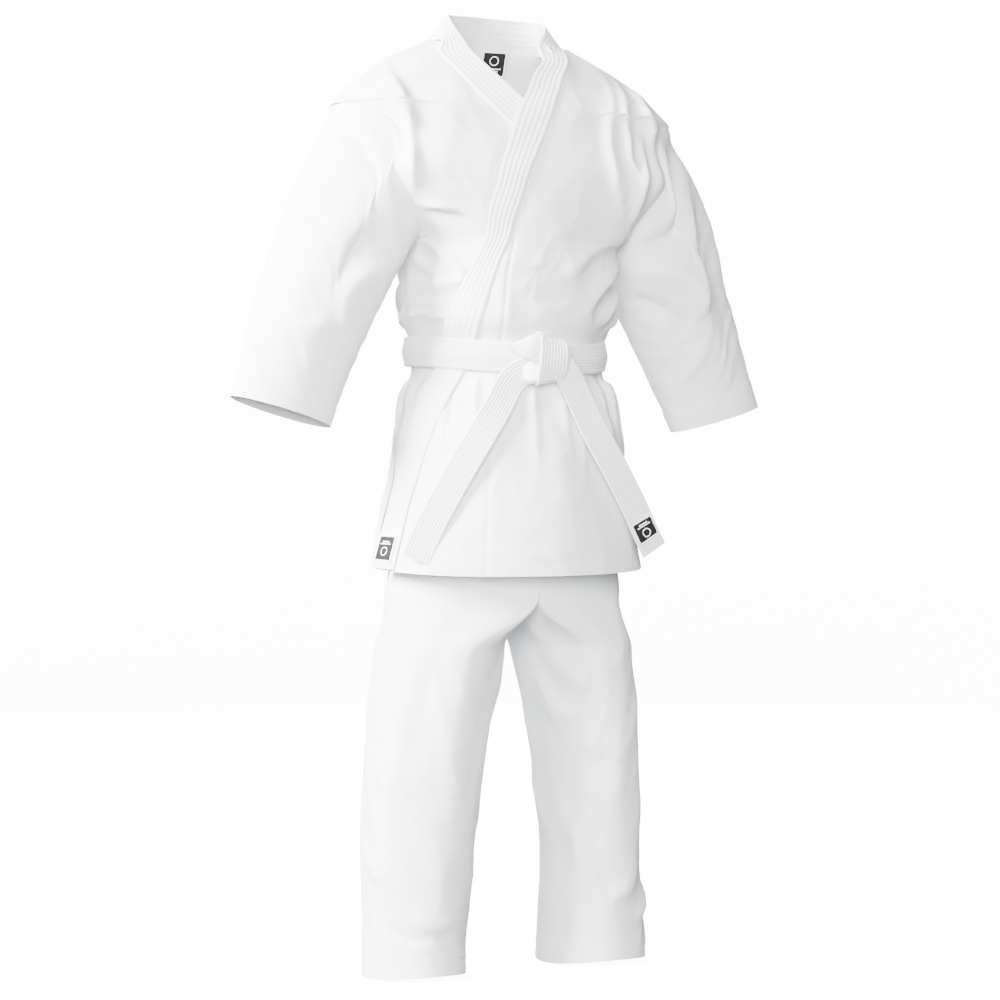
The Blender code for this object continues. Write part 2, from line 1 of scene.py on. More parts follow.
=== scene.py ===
import math
import bpy
import numpy as np
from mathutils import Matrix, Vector


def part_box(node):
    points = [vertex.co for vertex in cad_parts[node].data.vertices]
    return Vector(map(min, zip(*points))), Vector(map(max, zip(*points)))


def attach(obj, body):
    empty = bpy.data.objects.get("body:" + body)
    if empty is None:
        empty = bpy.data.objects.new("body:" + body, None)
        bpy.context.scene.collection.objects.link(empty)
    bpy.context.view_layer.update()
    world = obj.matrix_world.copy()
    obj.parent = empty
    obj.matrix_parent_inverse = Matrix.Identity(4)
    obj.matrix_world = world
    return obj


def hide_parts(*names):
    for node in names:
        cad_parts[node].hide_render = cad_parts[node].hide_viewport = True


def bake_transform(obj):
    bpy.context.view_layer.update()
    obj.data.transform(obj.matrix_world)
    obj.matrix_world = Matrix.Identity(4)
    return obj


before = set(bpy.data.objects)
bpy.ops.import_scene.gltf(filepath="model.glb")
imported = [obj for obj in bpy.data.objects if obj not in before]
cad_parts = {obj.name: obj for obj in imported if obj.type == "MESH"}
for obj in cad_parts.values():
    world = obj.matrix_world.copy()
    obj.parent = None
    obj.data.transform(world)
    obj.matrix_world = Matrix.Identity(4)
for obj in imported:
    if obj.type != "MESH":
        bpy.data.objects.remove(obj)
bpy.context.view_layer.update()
print("frame loaded")

# heights read from the frame, in metres from the neck opening down
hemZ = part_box("back_skirt_left")[0].z
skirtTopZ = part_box("back_skirt_left")[1].z
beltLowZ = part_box("belt_turn_inner")[0].z
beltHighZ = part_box("belt_turn_inner")[1].z
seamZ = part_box("sleeve_front_left")[1].z - 0.001
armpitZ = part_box("shoulder_lining_left")[0].z - 0.115
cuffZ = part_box("sleeve_front_left")[0].z
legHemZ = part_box("leg_left")[0].z
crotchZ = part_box("leg_left")[1].z
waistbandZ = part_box("waistband")[1].z
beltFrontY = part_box("belt_turn_outer")[0].y


def ease(x):  # a smooth step from 0 to 1
    x = np.clip(x, 0.0, 1.0)
    return x * x * (3 - 2 * x)


def unit(v):
    return v / np.maximum(np.linalg.norm(v, axis=-1, keepdims=True), 1e-9)


def smoothPath(points, count):  # a rounded line through a few points
    points = np.array(points, float)
    grown = np.vstack([2 * points[0] - points[1], points, 2 * points[-1] - points[-2]])
    at = np.linspace(0, len(points) - 1, count)
    i = np.minimum(at.astype(int), len(points) - 2)
    t = (at - i)[:, None]
    a, b, c, d = grown[i], grown[i + 1], grown[i + 2], grown[i + 3]
    bend, turn = 2 * a - 5 * b + 4 * c - d, 3 * b - a - 3 * c + d
    return 0.5 * (2 * b + (c - a) * t + bend * t ** 2 + turn * t ** 3)


def softNoise(x, y, seed):  # smooth noise from -1 to 1, one bump for each unit
    size = 64
    values = np.random.default_rng(seed).random((size, size)) * 2 - 1
    xi, yi = np.floor(x).astype(int), np.floor(y).astype(int)
    fx, fy = ease(x - xi), ease(y - yi)
    corner = lambda i, j: values[(xi + i) % size, (yi + j) % size]
    low = corner(0, 0) * (1 - fx) + corner(1, 0) * fx
    high = corner(0, 1) * (1 - fx) + corner(1, 1) * fx
    return low * (1 - fy) + high * fy


def crumple(u, v, wide, tall, seed):  # soft creased cloth, about 0 to 1
    total = np.zeros_like(u)
    share = 1.0
    for octave in range(3):
        bend = 0.5 * softNoise(u / wide * 0.6 + 5, v / tall * 0.6, seed + 50 + octave)
        ridge = 1 - np.abs(softNoise(u / wide + bend, v / tall - bend, seed + octave))
        total += share * ridge ** 2
        wide, tall, share = wide * 0.52, tall * 0.52, share * 0.42
    return total / 1.6


def foldHeight(u, v, folds):
    # each fold is a path in (u, v) metres with a height and its width on either side
    total = np.zeros_like(u)
    for path, height, near, far in folds:
        line = smoothPath(path, 14)
        best = np.full(u.shape, 9.0)
        side = np.zeros_like(u)
        along = np.zeros_like(u)
        for i in range(len(line) - 1):
            a, d = line[i], line[i + 1] - line[i]
            t = np.clip(((u - a[0]) * d[0] + (v - a[1]) * d[1]) / max(d @ d, 1e-12), 0, 1)
            du, dv = u - a[0] - t * d[0], v - a[1] - t * d[1]
            away = np.hypot(du, dv)
            closer = away < best
            best = np.where(closer, away, best)
            side = np.where(closer, d[0] * dv - d[1] * du, side)
            along = np.where(closer, (i + t) / (len(line) - 1), along)
        width = np.where(side > 0, near, far)
        total += height * np.sin(math.pi * np.clip(along, 0.02, 0.98)) ** 0.7 * np.exp(-(best / width) ** 1.6)
    return total


def smoothed(value, kernel):  # a row of values rounded by a kernel, its ends held
    reach = len(kernel) // 2
    padded = np.concatenate([np.full(reach, value[0]), value, np.full(reach, value[-1])])
    return np.convolve(padded, kernel, "valid")


def roundedTable(rows, soft):  # the rows as a fine table with its corners rounded
    step, reach = 0.002, 30
    rows = np.array(sorted(rows))
    z = np.arange(rows[0, 0] - 0.03, rows[-1, 0] + 0.03, step)
    kernel = np.exp(-0.5 * (np.arange(-reach, reach + 1) * step / soft) ** 2)
    kernel /= kernel.sum()
    return np.array([z] + [smoothed(np.interp(z, rows[:, 0], column), kernel) for column in rows.T[1:]])


# the body that fills the jacket
body = dict(
    layer=0.0035,  # from one wrapped layer to the next
    cloth=0.0019, liningThick=0.0014,
    neckShift=0.030,
    hemHalf=0.211, waistHalf=0.143, chestHalf=0.160, shoulderHalf=0.278, neckHalf=0.094,
    armholeFront=0.085, armholeBack=0.070, armholeSquare=2.6,
    foldStrength=1.35, crumpleHeight=0.0062, wrinkleHeight=0.0022,
    yokeDrop=0.078,  # from the shoulder seam's end to the lower edge of the shoulder lining
)
bodyRows = [  # height, half width, front depth, back depth
    (hemZ, body["hemHalf"], 0.155, 0.120),
    (hemZ * 0.51 + skirtTopZ * 0.49, 0.180, 0.140, 0.108),
    (skirtTopZ, 0.161, 0.125, 0.096),
    (beltLowZ - 0.004, body["waistHalf"], 0.113, 0.082),
    (beltHighZ + 0.004, body["waistHalf"], 0.113, 0.082),
    (beltHighZ + 0.026, 0.156, 0.129, 0.095),
    (armpitZ - 0.040, 0.157, 0.135, 0.098),
    (armpitZ, body["chestHalf"], 0.135, 0.100),
    (armpitZ + 0.049, 0.232, 0.134, 0.105),
    (armpitZ + 0.098, 0.298, 0.130, 0.109),
    (seamZ, body["shoulderHalf"], 0.100, 0.100),
    (seamZ + 0.073, 0.190, 0.072, 0.080),
    (0.0, body["neckHalf"], 0.045, 0.055),
]
bodyTable = roundedTable(bodyRows, 0.009)


def neckShift(z):  # the neck sits further back than the chest
    return body["neckShift"] * np.clip((z - seamZ) / -seamZ, 0, 1)


def bodyPoint(angle, z, out):  # angle in degrees from the centre front, towards the wearer's left
    angle, z, out = np.broadcast_arrays(*(np.asarray(value, float) for value in (angle, z, out)))
    turn = np.radians(angle)
    half, front, back = (np.interp(z, bodyTable[0], bodyTable[i]) for i in (1, 2, 3))
    depth = np.where(np.cos(turn) > 0, front, back)
    return np.stack([(half + out) * np.sin(turn), neckShift(z) - (depth + out) * np.cos(turn), z], -1)


def armholeAngle(z, front):  # how far from the centre front or back a panel reaches
    middle, reach = (seamZ + armpitZ) / 2, (seamZ - armpitZ) / 2
    rise = np.clip(np.abs((z - middle) / reach), 0, 1)
    deep = body["armholeFront"] if front else body["armholeBack"]
    depth = deep * (1 - rise ** body["armholeSquare"]) ** (1 / body["armholeSquare"])
    bodyDepth = np.interp(z, bodyTable[0], bodyTable[2 if front else 3])
    return np.degrees(np.arccos(np.clip(depth / bodyDepth, 0, 1)))


# both lapels run alike over the belt; the wearer's right one crosses underneath, a little lower
upperEdge = [(0.704, -16), (0.643, -26), (0.547, -42), (0.425, -60), (0.325, -70), (0.228, -79), (0.127, -84),
             (0.0, -88)]
upperSeam = [(0.567, -26), (0.425, -38), (0.325, -50), (0.228, -62), (0.127, -69), (0.0, -71)]
lapel = dict(
    # place up the jacket from hem to neck, and angle from the centre front
    edge=[(1.0, 16), (0.985, 13), (0.945, 6), (0.922, 3), (0.856, -6), (0.795, -10)] + upperEdge,
    seam=[(1.0, 38), (0.985, 30), (0.927, 17), (0.871, 7), (0.825, 3), (0.770, -2), (0.673, -10)] + upperSeam,
    edgeRight=[(1.0, 38), (0.962, 25), (0.918, 12), (0.876, 4.5), (0.850, 0), (0.795, -8)] + upperEdge,
    seamRight=[(1.0, 58), (0.962, 42), (0.918, 28), (0.876, 19), (0.850, 14), (0.795, 5), (0.704, -7),
               (0.673, -11)] + upperSeam,
    gore=[(0.608, -18), (0.542, -22), (0.425, -24), (0.162, -29), (0.0, -28)],
    thick=0.0034, rows=6,
)


def lapelLine(name, z):
    rows = np.array(sorted(lapel[name]), float)
    fine = np.linspace(0, 1, 400)
    kernel = np.hanning(31)
    value = smoothed(np.interp(fine, rows[:, 0], rows[:, 1]), kernel / kernel.sum())
    return np.interp((z - hemZ) / -hemZ, fine, value)


def addObject(name, data):
    made = bpy.data.objects.new(name, data)
    bpy.context.scene.collection.objects.link(made)
    return made


def srgb(code):  # a hex colour as linear values
    parts = [int(code[i:i + 2], 16) / 255 for i in (1, 3, 5)]
    return tuple(p / 12.92 if p <= 0.04045 else ((p + 0.055) / 1.055) ** 2.4 for p in parts) + (1.0,)


def addNode(tree, kind, settings=None, links=None):
    node = tree.nodes.new(kind)
    for key, value in (settings or {}).items():
        if isinstance(key, int) or key in node.inputs:
            node.inputs[key].default_value = value
        else:
            setattr(node, key, value)
    for key, source in (links or {}).items():
        tree.links.new(source, node.inputs[key])
    return node


def newMaterial(name, shader):
    made = bpy.data.materials.new(name)
    made.use_nodes = True
    tree = made.node_tree
    tree.nodes.clear()
    surface = addNode(tree, "ShaderNodeBsdfPrincipled", shader)
    addNode(tree, "ShaderNodeOutputMaterial", None, {"Surface": surface.outputs["BSDF"]})
    return made, tree, surface


def tinted(tree, surface, source, first, last, positions=(0.0, 1.0)):  # base colour between two tints
    tint = addNode(tree, "ShaderNodeValToRGB", None, {"Fac": source})
    for element, position, colour in zip(tint.color_ramp.elements, positions, (first, last)):
        element.position = position
        element.color = srgb(colour)
    tree.links.new(tint.outputs["Color"], surface.inputs["Base Color"])


def raised(tree, surface, source, strength, distance):  # fine relief that only the light shows
    relief = addNode(tree, "ShaderNodeBump", {"Strength": strength, "Distance": distance}, {"Height": source})
    tree.links.new(relief.outputs["Normal"], surface.inputs["Normal"])


def cottonDrill(name, light, shade, twill, bump, rough=0.92):
    # woven cotton: matt, with fine slanting twill lines, a little fuzz at grazing angles and uneven bleaching
    made, tree, surface = newMaterial(name, {"Roughness": rough, "Sheen Weight": 0.12, "Sheen Roughness": 0.5,
                                             "Specular IOR Level": 0.25})
    uv = addNode(tree, "ShaderNodeUVMap", {"uv_map": "weave"})
    # real twill lines are about 1 mm apart, drawn a little wider so that they show
    lines = addNode(tree, "ShaderNodeTexWave", {"Scale": 0.314 / twill, "Distortion": 0.6, "Detail": 1.0,
                                                "Detail Scale": 2.0, "bands_direction": "DIAGONAL"},
                    {"Vector": uv.outputs["UV"]})
    slub = addNode(tree, "ShaderNodeTexNoise", {"Scale": 240.0, "Detail": 3.0, "Roughness": 0.6},
                   {"Vector": uv.outputs["UV"]})
    cloudy = addNode(tree, "ShaderNodeTexNoise", {"Scale": 9.0, "Detail": 4.0, "Roughness": 0.55},
                     {"Vector": uv.outputs["UV"]})
    height = addNode(tree, "ShaderNodeMath", {"operation": "MULTIPLY_ADD", 1: 0.8},
                     {0: slub.outputs["Fac"], 2: lines.outputs["Fac"]})
    tinted(tree, surface, cloudy.outputs["Fac"], shade, light, (0.3, 0.7))
    raised(tree, surface, height.outputs["Value"], 0.5, bump)
    return made


def wovenLabel(name, dark, pale):
    # damask label: dense black polyester satin with a faint rib, a little glossier than the cotton
    made, tree, surface = newMaterial(name, {"Roughness": 0.55, "Sheen Weight": 0.05,
                                             "Specular IOR Level": 0.2})
    place = addNode(tree, "ShaderNodeTexCoord")
    rib = addNode(tree, "ShaderNodeTexWave", {"Scale": 480.0, "Distortion": 0.2},
                  {"Vector": place.outputs["Object"]})
    tinted(tree, surface, rib.outputs["Fac"], dark, pale)
    raised(tree, surface, rib.outputs["Fac"], 0.4, 0.0002)
    return made


drill = cottonDrill("cotton drill, woven", "#E6E8EA", "#E0E2E5", 0.0022, 0.00035)
beltCloth = cottonDrill("cotton belt cloth, stitched", "#E6E7E7", "#DEDFE0", 0.0020, 0.0003)
thread = cottonDrill("cotton thread, spun", "#F8F8F8", "#EDEEF0", 0.0012, 0.0001, 0.8)
labelBlack = wovenLabel("polyester label, woven black", "#0B0B0D", "#17171A")
labelWhite = wovenLabel("polyester label, woven white", "#EFEFF0", "#FAFAFA")


def gridNormals(grid, ring=False):
    across = np.roll(grid, -1, 1) - np.roll(grid, 1, 1) if ring else np.gradient(grid, axis=1)
    return unit(np.cross(across, np.gradient(grid, axis=0)))


def shell(name, middle, thick, material, ring=False, keep=None):
    # a closed cloth shell round a grid of points; keep is a mask of the cells that are there
    rows, columns = middle.shape[:2]
    normal = gridNormals(middle, ring)
    thick = np.broadcast_to(np.asarray(thick, float), (rows, columns))[..., None]
    outer = (middle + normal * thick / 2).reshape(-1, 3)
    inner = (middle - normal * thick / 2).reshape(-1, 3)
    cells = columns if ring else columns - 1
    keep = np.ones((rows - 1, cells), bool) if keep is None else keep
    r, c = np.nonzero(keep)
    a, b = r * columns + c, r * columns + (c + 1) % columns
    quads = np.stack([a, b, b + columns, a + columns], 1)
    total = rows * columns
    edges = np.concatenate([quads[:, [i, (i + 1) % 4]] for i in range(4)])
    key = np.sort(edges, 1)
    _, where, count = np.unique(key[:, 0] * total + key[:, 1], return_inverse=True, return_counts=True)
    rim = edges[count[where.ravel()] == 1]
    rims = np.stack([rim[:, 1], rim[:, 0], rim[:, 0] + total, rim[:, 1] + total], 1)
    faces = np.concatenate([quads, quads[:, ::-1] + total, rims])
    used = np.unique(faces)
    renumber = np.zeros(2 * total, int)
    renumber[used] = np.arange(len(used))
    mesh = bpy.data.meshes.new(name)
    mesh.from_pydata(np.concatenate([outer, inner])[used].tolist(), [], renumber[faces].tolist())
    # weave coordinates: arc lengths in metres
    closed = np.concatenate([middle, middle[:, :1]], 1) if ring else middle
    u = np.cumsum(np.linalg.norm(np.diff(closed, axis=1), axis=-1).mean(0))
    u = np.concatenate([[0], u])
    v = np.concatenate([[0], np.cumsum(np.linalg.norm(np.diff(middle, axis=0), axis=-1).mean(1))])
    cellUv = np.stack([np.stack([u[c + i], v[r + j]], 1) for i, j in ((0, 0), (1, 0), (1, 1), (0, 1))], 1)
    point = np.arange(total)
    flatUv = np.stack([u[np.minimum(point % columns, len(u) - 1)], v[point // columns]], 1)
    uv = np.concatenate([cellUv.reshape(-1, 2), cellUv[:, ::-1].reshape(-1, 2), flatUv[rims.ravel() % total]])
    layer = mesh.uv_layers.new(name="weave")
    layer.data.foreach_set("uv", uv.astype(np.float32).ravel())
    mesh.materials.append(material)
    mesh.shade_smooth()
    mesh.set_sharp_from_angle(angle=math.radians(55))
    made = addObject(name, mesh)
    p = middle.reshape(-1, 3)
    diagonals = p[quads[:, 2]] - p[quads[:, 0]], p[quads[:, 3]] - p[quads[:, 1]]
    area = np.linalg.norm(np.cross(*diagonals), axis=1).sum() / 2
    made["flat"] = [float(u[-1]), float(v[-1]), float(area)]
    return made


def displaced(grid, height, ring=False):  # the grid moved along its own normals
    return grid + gridNormals(grid, ring) * height[..., None]


def clothPiece(name, grid, thick, replaced, bodies, bend=None, material=drill, ring=False,
               keep=None):
    # one cloth with the nodes it stands for and the bodies it moves with, back come its surface and normals;
    # a piece given a bend is baked in place and attached to no body
    piece = shell(name, grid, thick, material, ring, keep)
    if replaced:
        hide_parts(*replaced)
    if bend:
        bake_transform(piece)
    else:
        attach(piece, *bodies)
    normals = gridNormals(grid, ring)
    return grid + normals * np.broadcast_to(thick, grid.shape[:2])[..., None] / 2, normals


stitch = dict(length=0.0030, pitch=0.0042, wide=0.0008, high=0.0005)
stitchRuns = {}


def stitchLine(group, path, normals):
    # a run of machine stitches, gathered by the bodies that they move with
    path, normals = np.asarray(path), np.asarray(normals)
    steps = np.linalg.norm(np.diff(path, axis=0), axis=1)
    at = np.concatenate([[0], np.cumsum(steps)])
    centres = np.arange(stitch["pitch"], at[-1] - stitch["pitch"], stitch["pitch"])
    if len(centres) < 2:
        return
    pick = lambda values, where: np.stack([np.interp(where, at, values[:, i]) for i in range(3)], 1)
    middle, normal = pick(path, centres), unit(pick(normals, centres))
    ahead = unit(pick(path, centres + 0.001) - pick(path, centres - 0.001))
    side = unit(np.cross(normal, ahead))
    stitchRuns.setdefault(group, []).append((middle, ahead, side, normal))


def stitchLines(group, surface, normals, rows=(), columns=(), start=None, end=None, ring=False):
    for row in rows:
        line, away = surface[row], normals[row]
        if ring:
            line, away = np.concatenate([line, line[:1]]), np.concatenate([away, away[:1]])
        stitchLine(group, line, away)
    for column in columns:
        stitchLine(group, surface[start:end, column], normals[start:end, column])


def rowPlaces(rows, count):  # where the rows of stitches run in a grid with so many lines
    return [round(row * (count - 1) / rows) for row in range(1, rows)]


def stitchesFrom(group, name):
    middle, ahead, side, normal = (np.concatenate([r[i] for r in stitchRuns[group]]) for i in range(4))
    half, wide, high = stitch["length"] / 2, stitch["wide"] / 2, stitch["high"]
    corners = [middle - ahead * half, middle + side * wide, middle + ahead * half, middle - side * wide,
               middle + normal * high, middle - normal * high]
    points = np.stack(corners, 1).reshape(-1, 3)
    pattern = np.array([(0, 3, 4), (3, 2, 4), (2, 1, 4), (1, 0, 4),
                        (3, 0, 5), (2, 3, 5), (1, 2, 5), (0, 1, 5)])
    faces = (pattern[None] + 6 * np.arange(len(middle))[:, None, None]).reshape(-1, 3)
    mesh = bpy.data.meshes.new(name)
    mesh.from_pydata(points.tolist(), [], faces.tolist())
    layer = mesh.uv_layers.new(name="weave")
    layer.data.foreach_set("uv", points[faces.ravel()][:, [0, 2]].astype(np.float32).ravel())
    mesh.materials.append(thread)
    mesh.shade_smooth()
    made = addObject(name, mesh)
    print("stitches", name, len(middle))
    return made


# start and end points between two bodies where the cloth would bend; nothing reads them, and a piece given
# one is baked in place
frontBend = dict(start=(0, -0.125, beltLowZ - 0.010), end=(0, -0.175, beltLowZ - 0.080))
backBend = dict(start=(0, 0.095, beltLowZ - 0.010), end=(0, 0.135, beltLowZ - 0.070))
legBend = dict(start=(0, -0.06, crotchZ + 0.040), end=(0, -0.100, crotchZ - 0.045))


def sleeveBend(side):
    middle = (seamZ + armpitZ) / 2
    return dict(start=(side * 0.222, 0, middle), end=(side * 0.325, 0, middle - 0.066))


# in the tables below a fold is its height and its width on either side in millimetres, then its path:
# degrees round and millimetres up on the body and the legs, degrees round and per cent down on the sleeves
perDegree = 0.0027  # metres of cloth for a degree round the body


def foldsFrom(table, across, unitOf=1000, along=1):  # to metres of cloth
    return [([(a * across, b / unitOf * along) for a, b in path], height / 1000, near / 1000, far / 1000)
            for height, near, far, *path in table]


# gathers that hang from the belt, as (angle, lean, length, height)
gathers = [
    (-86, -2, 0.11, 0.007), (-78, 1, 0.10, -0.005), (-69, -1, 0.13, 0.005), (-58, 2, 0.12, 0.005),
    (-47, -2, 0.10, -0.004), (-38, 1, 0.14, 0.004), (-22, -2, 0.12, 0.003), (-8, 1, 0.15, 0.003),
    (7, 2, 0.13, 0.004), (21, -1, 0.17, 0.004), (33, 2, 0.12, -0.004), (43, -1, 0.11, 0.006),
    (52, 2, 0.10, -0.006), (60, -2, 0.12, 0.008), (68, 2, 0.10, -0.006), (76, -1, 0.13, 0.008),
    (84, 1, 0.12, -0.005), (94, 2, 0.12, 0.006), (104, -2, 0.13, -0.005), (118, 2, 0.12, 0.006),
    (133, -2, 0.14, 0.005), (149, 1, 0.11, -0.004), (165, 2, 0.15, 0.005), (179, -1, 0.12, 0.004),
]
gatherFolds = [([(a * perDegree, beltLowZ + 0.006), ((a + lean) * perDegree, beltLowZ - 0.030),
                 ((a + 2.2 * lean) * perDegree, beltLowZ - long)], deep, 0.006, 0.009)
               for a, lean, long, deep in gathers]

rightFrontFolds = gatherFolds + foldsFrom([
    (11, 6, 20, (-72, -55), (-47, -110), (-43, -170), (-44, -225), (-66, -280)),
    (-6, 4, 10, (-57, -272), (-46, -276), (-34, -283)),
    (4, 5, 10, (-58, -262), (-46, -266), (-36, -270)),
    (6, 8, 14, (-76, -300), (-66, -318), (-50, -350), (-40, -390)),
    (5, 6, 12, (-84, -330), (-70, -352), (-56, -366)),
    (6, 6, 12, (-92, -384), (-72, -378), (-50, -372), (-36, -380)),
    (5, 5, 8, (-92, -405), (-74, -402), (-58, -408)),
    (6, 4, 7, (-92, -421), (-72, -420), (-52, -428), (-40, -436)),
    (6, 4, 6, (-92, -436), (-70, -436), (-50, -442)),
    (4, 14, 22, (-30, -50), (-28, -110), (-30, -180), (-34, -240)),
    (8, 12, 14, (-86, -470), (-80, -530), (-82, -590), (-88, -630)),
], perDegree)
leftFrontFolds = gatherFolds + foldsFrom([
    (6, 10, 6, (44, -60), (27, -120), (23, -180), (26, -230), (40, -275)),
    (8, 8, 6, (56, -55), (35, -110), (31, -160), (31, -200), (42, -262)),
    (9, 7, 6, (38, -140), (36, -180), (36, -225), (48, -280)),
    (12, 16, 9, (70, -60), (48, -105), (44, -160), (46, -215), (62, -280)),
    (7, 12, 18, (66, -292), (46, -305), (26, -330), (10, -370)),
    (9, 10, 16, (80, -318), (58, -345), (38, -380), (24, -420)),
    (10, 8, 13, (88, -350), (70, -376), (52, -410), (38, -446)),
    (8, 6, 9, (92, -392), (76, -408), (60, -432), (50, -452)),
    (7, 5, 7, (92, -420), (78, -432), (66, -448)),
    (6, 30, 40, (-6, -560), (4, -610), (8, -690), (10, -770)),
    (6, 28, 34, (40, -560), (46, -640), (48, -780)),
    (7, 20, 26, (70, -540), (74, -620), (72, -700), (78, -780)),
], perDegree)
backFolds = gatherFolds + foldsFrom([
    (9, 16, 24, (118, -130), (128, -200), (140, -290), (158, -400)),
    (6, 14, 20, (132, -110), (140, -190), (150, -300), (166, -420)),
    (9, 10, 16, (98, -300), (116, -340), (136, -390), (150, -440)),
    (8, 8, 12, (96, -360), (114, -392), (130, -430)),
    (7, 6, 10, (94, -410), (116, -424), (140, -438), (166, -444)),
    (5, 4, 7, (120, -440), (150, -447), (180, -446)),
    (8, 22, 30, (120, -560), (124, -640), (122, -780)),
    (7, 26, 32, (152, -550), (156, -650), (154, -780)),
], perDegree)


def ringFolds(u, v, folds, around):  # folds on a tube, where both ends of u meet
    return sum(foldHeight(u - turns * around, v, folds) for turns in (0, 1, -1))


def ringCrumple(turn, v, radius, scale, slide, size, seed):  # creases that meet themselves round a tube
    across, deep = (np.broadcast_to(radius * wave[None, :], v.shape) for wave in (np.cos(turn), np.sin(turn)))
    return crumple(across * scale + v * slide[0], deep * scale - v * slide[1], size, size, seed) - 0.55


def bodyRelief(angle, z, folds, seed):
    u = angle * perDegree
    height = body["foldStrength"] * foldHeight(u, z, folds)
    height += body["crumpleHeight"] * (crumple(u, z, 0.10, 0.12, seed) - 0.55)
    waist = ease((z + 0.52) / 0.1) * ease((-0.30 - z) / 0.05)
    height += body["wrinkleHeight"] * (crumple(u, z, 0.045, 0.030, seed + 7) - 0.5) * waist
    underBelt = ease((z - beltHighZ - 0.018) / 0.02) + ease((beltLowZ - 0.002 - z) / 0.02)
    return height * np.clip(underBelt, 0.12, 1)


def spread(start, end, count):  # columns between two edges that change with height
    share = np.linspace(0, 1, count)[None, :]
    return start[:, None] * (1 - share) + end[:, None] * share


bodyHeights = np.concatenate([
    np.linspace(hemZ, beltLowZ - 0.01, 72)[:-1], np.linspace(beltLowZ - 0.01, beltHighZ + 0.01, 12)[:-1],
    np.linspace(beltHighZ + 0.01, -0.002, 112)])


def hemDip(angle, z):  # the hem hangs a little lower in front
    low = ease((hemZ + 0.12 - z) / 0.12)
    inFront = np.clip(np.cos(np.radians(angle + 12)), 0, 1) ** 0.7
    atRight = np.clip(-np.sin(np.radians(angle)), 0, 1) ** 6
    return 0.010 * low * inFront - 0.003 * low * atRight


def seamGroove(angle, line, wide, deep):  # a sewn seam pulls a narrow valley into the cloth
    away = np.abs(angle - line) * perDegree
    return -deep * np.exp(-(away / wide) ** 2)


hemRows = (2, 3)  # rows of the jacket's grids that carry the hem's stitches
ventEnd = 60  # the last row of the grids beside an open vent


def makeJacketBack():
    z = bodyHeights
    reach = armholeAngle(z, False)
    skirt = ease((beltLowZ - 0.02 - z) / 0.03)
    inset = 1.2 - 4.2 * skirt
    start, end = 180 - reach - inset, 180 + reach + inset
    angle = spread(start, end, 150)
    zz = np.broadcast_to(z[:, None], angle.shape)
    mirrored = np.where(angle > 180, 360 - angle, angle)
    relief = bodyRelief(mirrored, zz, backFolds, 11)
    lean = softNoise(angle / 26, zz * 7, 31) * 0.004
    relief = relief + lean + seamGroove(angle, 180, 0.0025, 0.0018)
    edgeIn = ease((np.abs(angle - 180) - 80) / 10)
    atArm = ease(1 - (reach[:, None] - np.abs(180 - angle)) * perDegree / 0.022)
    relief = relief * (1 - 0.8 * atArm * (1 - skirt[:, None]))
    grid = bodyPoint(angle, zz, body["layer"] - 0.0011 * edgeIn)
    grid = displaced(grid, relief)
    surface, normals = clothPiece(
        "jacketBack", grid, body["cloth"],
        ("back_panel_left", "back_panel_right", "back_skirt_left", "back_skirt_right"),
        ("torso", "back_skirt"), backBend)
    stitchLines("back", surface, normals, columns=(73, 76))  # on either side of the centre seam
    stitchLines("back", surface, normals, rows=hemRows, columns=(2, -3), end=ventEnd)
    yoke = int(np.argmin(np.abs(z - (seamZ - body["yokeDrop"]))))
    stitchLines("back", surface, normals, rows=(yoke,))


def frontSheet(side, inner, out, folds, seed, columns):
    z = bodyHeights[bodyHeights < -0.004]
    reach = armholeAngle(z, True)
    skirt = ease((beltLowZ - 0.02 - z) / 0.03)
    outerEdge = side * (reach - 2.5 * skirt)
    innerEdge = inner(z)
    angle = spread(outerEdge, innerEdge, columns) if side < 0 else spread(innerEdge, outerEdge, columns)
    zz = np.broadcast_to(z[:, None], angle.shape)
    relief = bodyRelief(angle, zz, folds, seed)
    relief = relief + softNoise(angle / 24 + 9, zz * 6, seed + 3) * 0.0035
    atSide = ease((np.abs(angle) - 66) / 22)
    level = out * (1 - atSide) + (body["layer"] + 0.0013) * atSide
    nearLapel = ease(1 - np.abs(angle - innerEdge[:, None]) * perDegree / 0.03)
    calm = 1 - 0.75 * nearLapel
    atArm = ease(1 - (reach[:, None] - np.abs(angle)) * perDegree / 0.022)
    calm = calm * (1 - 0.8 * atArm * (1 - skirt[:, None]))
    return z, angle, zz, level, relief * calm


def makeFrontRight():
    inner = lambda z: -lapelLine("seamRight", z) + 1.5
    z, angle, zz, level, relief = frontSheet(-1, inner, 0.0, rightFrontFolds, 23, 130)
    under = ease((angle - (lapelLine("edge", zz) - 4)) / 8)  # pressed flat where the left front covers it
    grid = displaced(bodyPoint(angle, zz, level * (1 - under)), relief * (1 - 0.95 * under) - 0.0012 * under)
    grid[..., 2] -= hemDip(angle, zz)
    surface, normals = clothPiece(
        "frontRight", grid, body["cloth"],
        ("front_panel_right", "front_skirt_right"), ("torso", "front_skirt"), frontBend)
    stitchLines("front", surface, normals, rows=hemRows, columns=(2,), end=ventEnd)


